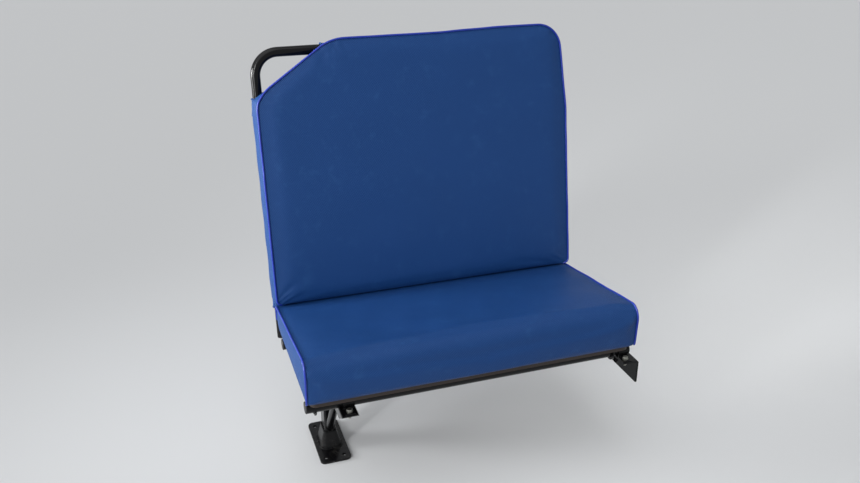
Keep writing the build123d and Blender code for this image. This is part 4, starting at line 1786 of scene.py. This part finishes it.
@dataclass
class Welds(SubAssembly):
    """Weld beads of the underframe, under the same powder coat as the steel."""

    plane: LeaningPlane
    radius: float = 0.0023
    ripple: float = 0.0022
    swell: tuple[float, float] = (0.88, 0.20)
    spacing: float = 0.0006
    around: int = 10
    ring_steps: int = 96
    stitches: tuple[tuple[float, float], ...] = ((-0.746, -0.722), (-0.712, -0.688))
    beside: float = 0.0072
    out: float = 0.0012
    tube_ring: float = 0.0160
    post_side: float = 0.0162
    post_half: float = 0.020
    skirt_half: tuple[float, float] = (0.0164, 0.0264)
    skirt_bend: float = 0.0074
    foot_bend: float = 0.0226
    bed: float = 0.0006
    brace_top: tuple[float, float] = (0.0117, 0.0143)
    brace_low: tuple[float, float] = (0.0117, 0.0198)
    brace_top_in: float = 0.01347
    brace_low_up: float = 0.0190
    gusset_beside: float = 0.0007
    gusset_tip: float = 0.003
    gusset_toe: float = 0.004
    gusset_heel: float = 0.009

    def bead(self, skin: Skin, line: Array, lead: Array, closed: bool = False) -> None:
        """Adds one bead: a round section that swells once per ripple of the weld.

        Its radius is radius * (swell_1 + swell_2 * |sin(pi * distance / ripple)|), the ripple
        being fitted a whole number of times, and is rounded off at the ends of an open bead.

        Args:
            skin: Mesh that the bead joins.
            line: (n, 3) points of its middle line; a closed line ends where it starts.
            lead: Direction of the section's angle 0.
            closed: Whether it runs all the way round.
        """
        length = np.linalg.norm(np.diff(line, axis=0), axis=1).sum()
        steps = int(length / self.spacing)
        path = resampled(line, steps)
        turns = max(1, round(length / self.ripple))
        least, more = self.swell
        swell = least + more * np.abs(np.sin(np.pi * turns * np.linspace(0, 1, steps + 1)))
        if closed:
            grid, _ = carried(path[:-1], lead, self.radius * swell[:-1], self.around, closed=True)
        else:
            grid, _ = carried(path, lead, blunt(path, self.radius) * swell, self.around)
        skin.add(grid)

    def ring(self, half: tuple[float, float], axis: int, middle: tuple[float, float, float]) -> Array:
        """Ellipse square to an axis: middle + half_1 * cos(a), half_2 * sin(a) on the other two.

        Args:
            half: Half sizes along the other two axes, in order.
            axis: 0, 1 or 2.
            middle: Middle of the ring.

        Returns:
            (ring_steps + 1, 3) points, the last like the first.
        """
        angle = np.linspace(0.0, 2 * np.pi, self.ring_steps + 1)
        flat = [half[0] * np.cos(angle), half[1] * np.sin(angle)]
        flat.insert(axis, np.zeros_like(angle))
        points = np.stack(flat, axis=-1) + np.array(middle)
        points[-1] = points[0]
        return points

    def skirt(self, half_x: float, half_y: float, bend: float, height: float) -> Array:
        """Level rounded rectangle about the post, closed."""
        corners = np.array([(-half_x, -half_y), (half_x, -half_y), (half_x, half_y), (-half_x, half_y)])
        dense = RoundedOutline(corners, np.full(4, bend)).dense()
        looped = np.vstack([dense, dense[:1]])
        return np.column_stack([looped, np.full(len(looped), height)])

    def of_plate(self, node: str, outward: float) -> bpy.types.Object:
        """Beads of one side plate: stitches beside the upright, rings round the cross tubes.

        Args:
            node: The plate's node.
            outward: -1 on the aisle side, 1 on the window side.

        Returns:
            The plate's beads in one mesh.
        """
        low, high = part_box(node)
        face = low.x if outward < 0 else high.x
        skin = Skin(f"welds_{node}")
        for forward in (-self.beside, self.beside):
            for stitch in self.stitches:
                ends = self.plane.place(face + outward * self.out, np.array(stitch), forward)
                self.bead(skin, ends, self.plane.forward())
        for tube in ("front_cross_tube", "rear_cross_tube"):
            tube_low, tube_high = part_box(tube)
            middle = (face, (tube_low.y + tube_high.y) / 2, (tube_low.z + tube_high.z) / 2)
            self.bead(skin, self.ring((self.tube_ring,) * 2, 0, middle), ALONG_X, closed=True)
        return skin.object(smooth_angle=80)

    def of_pedestal(self) -> bpy.types.Object:
        """Beads of the pedestal: post, head, brace, skirt and foot plate in one mesh."""
        head_low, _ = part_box("pedestal_head")
        brace_low, brace_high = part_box("pedestal_brace")
        flare_low, flare_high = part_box("foot_flare")
        foot = (flare_high.x + self.bed, flare_high.y + self.bed)
        top = (0.0, brace_low.y + self.brace_top_in, brace_high.z - self.bed)
        low = (0.0, brace_high.y - self.bed, brace_low.z + self.brace_low_up)
        skin = Skin("welds_pedestal")
        for side in (-self.post_side, self.post_side):
            ends = np.array([(side, -self.post_half, head_low.z), (side, self.post_half, head_low.z)])
            self.bead(skin, ends, ALONG_Z)
        for ring, lead in (
            (self.skirt(*self.skirt_half, self.skirt_bend, flare_high.z), ALONG_Z),
            (self.skirt(*foot, self.foot_bend, flare_low.z + self.bed), ALONG_Z),
            (self.ring(self.brace_top, 2, top), ALONG_Z),
            (self.ring(self.brace_low, 1, low), ALONG_Y),
        ):
            self.bead(skin, ring, lead, closed=True)
        return skin.object(smooth_angle=80)

    def of_wall(self) -> bpy.types.Object:
        """Beads of the two gussets under the wall angle's shelf."""
        skin = Skin("welds_wall")
        for node in ("wall_gusset_front", "wall_gusset_rear"):
            low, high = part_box(node)
            heel_x, heel_z = high.x - self.gusset_heel, high.z - self.gusset_heel
            for side in (low.y - self.gusset_beside, high.y + self.gusset_beside):
                shelf = np.array([(low.x + self.gusset_tip, side, high.z), (heel_x, side, high.z)])
                leg = np.array([(high.x, side, low.z + self.gusset_toe), (high.x, side, heel_z)])
                self.bead(skin, shelf, ALONG_Z)
                self.bead(skin, leg, ALONG_X)
        return skin.object(smooth_angle=80)

    def build(self) -> list[bpy.types.Object]:
        """Makes the beads, each group on its own piece."""
        pieces = [
            self.of_plate("side_plate_aisle", -1.0),
            self.of_plate("side_plate_window", 1.0),
            self.of_pedestal(),
            self.of_wall(),
        ]
        return [self.keep(piece, PowderCoat(), Slot.BLACK_PAINT) for piece in pieces]


class SteelFrame(SubAssembly):
    """The frame's own nodes, which keep their meshes and get their finishes."""

    def build(self) -> list[bpy.types.Object]:
        """Dresses each node by its record slot."""
        finishes = {
            Slot.BLACK_PAINT.value: PowderCoat(),
            Slot.BLACK_PLASTIC.value: MouldedPlastic(),
            Slot.BOARD.value: Plywood(),
        }
        dressed = []
        for row in frame["record"]["subparts"]:
            finish = finishes.get(row["material_slot"])
            if finish is not None:
                node = frame["nodes"][row["node"]]
                node.data.materials.clear()
                node.data.materials.append(finish.material())
                dressed.append(node)
        return dressed


@dataclass(frozen=True)
class Lamp:
    """A soft rectangular lamp that faces the seat: sizes in metres, beam in degrees."""

    name: str
    spot: tuple[float, float, float]
    size: tuple[float, float]
    watts: float
    beam: float


@dataclass(frozen=True)
class Studio:
    """Pale floor, soft lamps and the camera of the photograph's viewpoint."""

    camera_spot: tuple[float, float, float] = (-0.368, -1.964, 1.469)
    pitch: float = math.radians(-23.5)
    yaw: float = math.radians(18.7)
    lens: float = 36.0
    floor_size: float = 60.0
    floor_colour: Colour = linear(214, 216, 218)
    floor_roughness: float = 0.7
    backdrop_colour: Colour = linear(193, 195, 197)
    world_level: float = 0.42
    sky_level: float = 1.3
    sky_spread: float = math.radians(70)
    sky_from: tuple[float, float, float] = (-0.45, -0.25, 1.0)
    aim: tuple[float, float, float] = (0.33, 0.05, 0.85)
    lamps: tuple[Lamp, ...] = (
        Lamp("aisle_window", (-3.4, 0.9, 1.3), (1.3, 1.2), 12.0, 34.0),
        Lamp("front_strip", (-2.6, -1.9, 1.9), (0.35, 2.2), 9.0, 52.0),
    )

    def floor(self) -> None:
        """A wide floor with a soft, even finish."""
        half = np.array([-0.5, 0.5]) * self.floor_size
        y, x = np.meshgrid(half, half, indexing="ij")
        skin = Skin("studio_floor")
        skin.add(np.stack([x, y, np.zeros_like(x)], axis=-1))
        made = skin.object()
        wiring = Wiring("studio_floor")
        matt = wiring.dress(Base_Color=self.floor_colour, Roughness=self.floor_roughness)
        made.data.materials.append(matt)

    def put_light(self, light: bpy.types.Light, spot: Sequence[float], target: Sequence[float]) -> None:
        """Places a light so that it faces a target."""
        made = bpy.data.objects.new(light.name, light)
        made.location = spot
        made.rotation_euler = (Vector(target) - Vector(spot)).to_track_quat("-Z", "Y").to_euler()
        bpy.context.scene.collection.objects.link(made)

    def place_lamps(self) -> None:
        """Even light from above, a tall lamp on the aisle side and a narrow one in front of it."""
        sky = bpy.data.lights.new("sky", "SUN")
        sky.energy = self.sky_level
        sky.angle = self.sky_spread
        self.put_light(sky, self.sky_from, (0.0, 0.0, 0.0))
        for lamp in self.lamps:
            light = bpy.data.lights.new(lamp.name, "AREA")
            light.shape = "RECTANGLE"
            light.size, light.size_y = lamp.size
            light.energy = lamp.watts
            light.spread = math.radians(lamp.beam)
            self.put_light(light, lamp.spot, self.aim)

    def world(self) -> None:
        """Even pale surroundings, shown to the camera and to gloss in the tone of the far floor."""
        world = bpy.data.worlds.new("surroundings")
        world.use_nodes = True
        tree = world.node_tree
        even = tree.nodes["Background"]
        even.inputs["Color"].default_value = (1.0, 1.0, 1.0, 1.0)
        even.inputs["Strength"].default_value = self.world_level
        shown = tree.nodes.new("ShaderNodeBackground")
        shown.inputs["Color"].default_value = (*self.backdrop_colour, 1.0)
        ray = tree.nodes.new("ShaderNodeLightPath")
        seen = tree.nodes.new("ShaderNodeMath")
        seen.operation = "MAXIMUM"
        both = tree.nodes.new("ShaderNodeMixShader")
        for source, target in (
            (ray.outputs["Is Camera Ray"], seen.inputs[0]),
            (ray.outputs["Is Glossy Ray"], seen.inputs[1]),
            (seen.outputs[0], both.inputs[0]),
            (even.outputs[0], both.inputs[1]),
            (shown.outputs[0], both.inputs[2]),
            (both.outputs[0], tree.nodes["World Output"].inputs["Surface"]),
        ):
            tree.links.new(source, target)
        bpy.context.scene.world = world

    def camera(self) -> None:
        """Camera at the photograph's viewpoint, turned to the whole seat."""
        lens = bpy.data.cameras.new("camera")
        lens.lens = self.lens
        made = bpy.data.objects.new("camera", lens)
        level = math.cos(self.pitch)
        heading = Vector((math.sin(self.yaw) * level, math.cos(self.yaw) * level, math.sin(self.pitch)))
        made.location = self.camera_spot
        made.rotation_euler = heading.to_track_quat("-Z", "Y").to_euler()
        bpy.context.scene.collection.objects.link(made)
        bpy.context.scene.camera = made

    def build(self) -> None:
        """Sets the stage, the lamps, the surroundings and the camera."""
        bpy.context.scene.view_settings.view_transform = "Standard"
        self.floor()
        self.place_lamps()
        self.world()
        self.camera()


def tube_plane() -> tuple[LeaningPlane, float, float]:
    """Plane of the frame's bent tube, and X of its two uprights' middle lines."""
    low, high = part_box("back_frame_tube")
    plane = LeaningPlane(high.y - TUBE_RADIUS, high.z - TUBE_RADIUS)
    return plane, low.x + TUBE_RADIUS, high.x - TUBE_RADIUS


def backrest_of_frame() -> Backrest:
    """Backrest whose places are read from the frame's tube and pad."""
    plane, aisle, window = tube_plane()
    low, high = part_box("backrest_pad")
    foot = (low.z - plane.origin_z + Backrest.back_depth * math.sin(plane.lean)) / math.cos(plane.lean)
    return Backrest(
        plane=plane,
        tube_radius=TUBE_RADIUS,
        upright_aisle=aisle,
        upright_window=window,
        left=low.x,
        right=high.x,
        foot=foot,
    )


def grab_tube_of_frame() -> GrabTube:
    """Grab tube whose places are read from the frame's own."""
    plane, aisle, window = tube_plane()
    low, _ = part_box("back_frame_tube")
    low_end = (low.z - plane.origin_z + TUBE_RADIUS * math.sin(plane.lean)) / math.cos(plane.lean)
    return GrabTube(plane, TUBE_RADIUS, aisle, window, low_end)


def cushion_of_frame() -> Cushion:
    """Cushion whose places are read from the frame's plain one."""
    low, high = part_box("seat_cushion")
    _, aisle, window = tube_plane()
    beside_upright = TUBE_RADIUS + Cushion.upright_gap
    return Cushion(
        left=low.x,
        right=high.x,
        front=low.y,
        rear=high.y - Cushion.lip_reach,
        low=low.z,
        lip_left=aisle + beside_upright,
        lip_right=window - beside_upright,
    )


def fasteners_of_frame() -> Fasteners:
    """Bolts at the straps' ears and screws under the board, placed by the frame's nodes."""
    ear_thick, ear_out = 0.003, 0.030
    under_thick = {"pedestal": 0.004, "wall": 0.005}
    rows = (-0.190, -0.095, 0.010)
    flange_in, flange_thick, bearer_thick = 0.016, 0.004, 0.002
    bolts = []
    for place in ("front", "rear"):
        for end, thick in under_thick.items():
            low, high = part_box(f"{place}_strap_{end}")
            middle = (low + high) / 2
            for side in (-ear_out, ear_out):
                spot = (middle.x, middle.y + side)
                bolts.append(Bolting(spot, low.z + ear_thick, ear_thick + thick))
    board_low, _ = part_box("cushion_board")
    aisle_low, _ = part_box("side_plate_aisle")
    _, window_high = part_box("side_plate_window")
    bearer_low, bearer_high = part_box("middle_bearer")
    lines = (
        (aisle_low.x + flange_in, flange_thick),
        (window_high.x - flange_in, flange_thick),
        ((bearer_low.x + bearer_high.x) / 2, bearer_thick),
    )
    spots = [(x, y, board_low.z - thick) for x, thick in lines for y in rows]
    return Fasteners(bolts, spots)


def main() -> None:
    """Builds each sub-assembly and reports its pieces."""
    logging.basicConfig(level=logging.INFO, format="%(name)s: %(message)s")
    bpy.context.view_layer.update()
    backrest = backrest_of_frame()
    assemblies = (
        SteelFrame(), Welds(backrest.plane), fasteners_of_frame(),
        grab_tube_of_frame(), backrest, cushion_of_frame(),
    )
    for assembly in assemblies:
        for piece in assembly.build():
            LOG.info("%s: %s, %d faces", type(assembly).__name__, piece.name, len(piece.data.polygons))
    Studio().build()


if __name__ == "__main__":
    main()
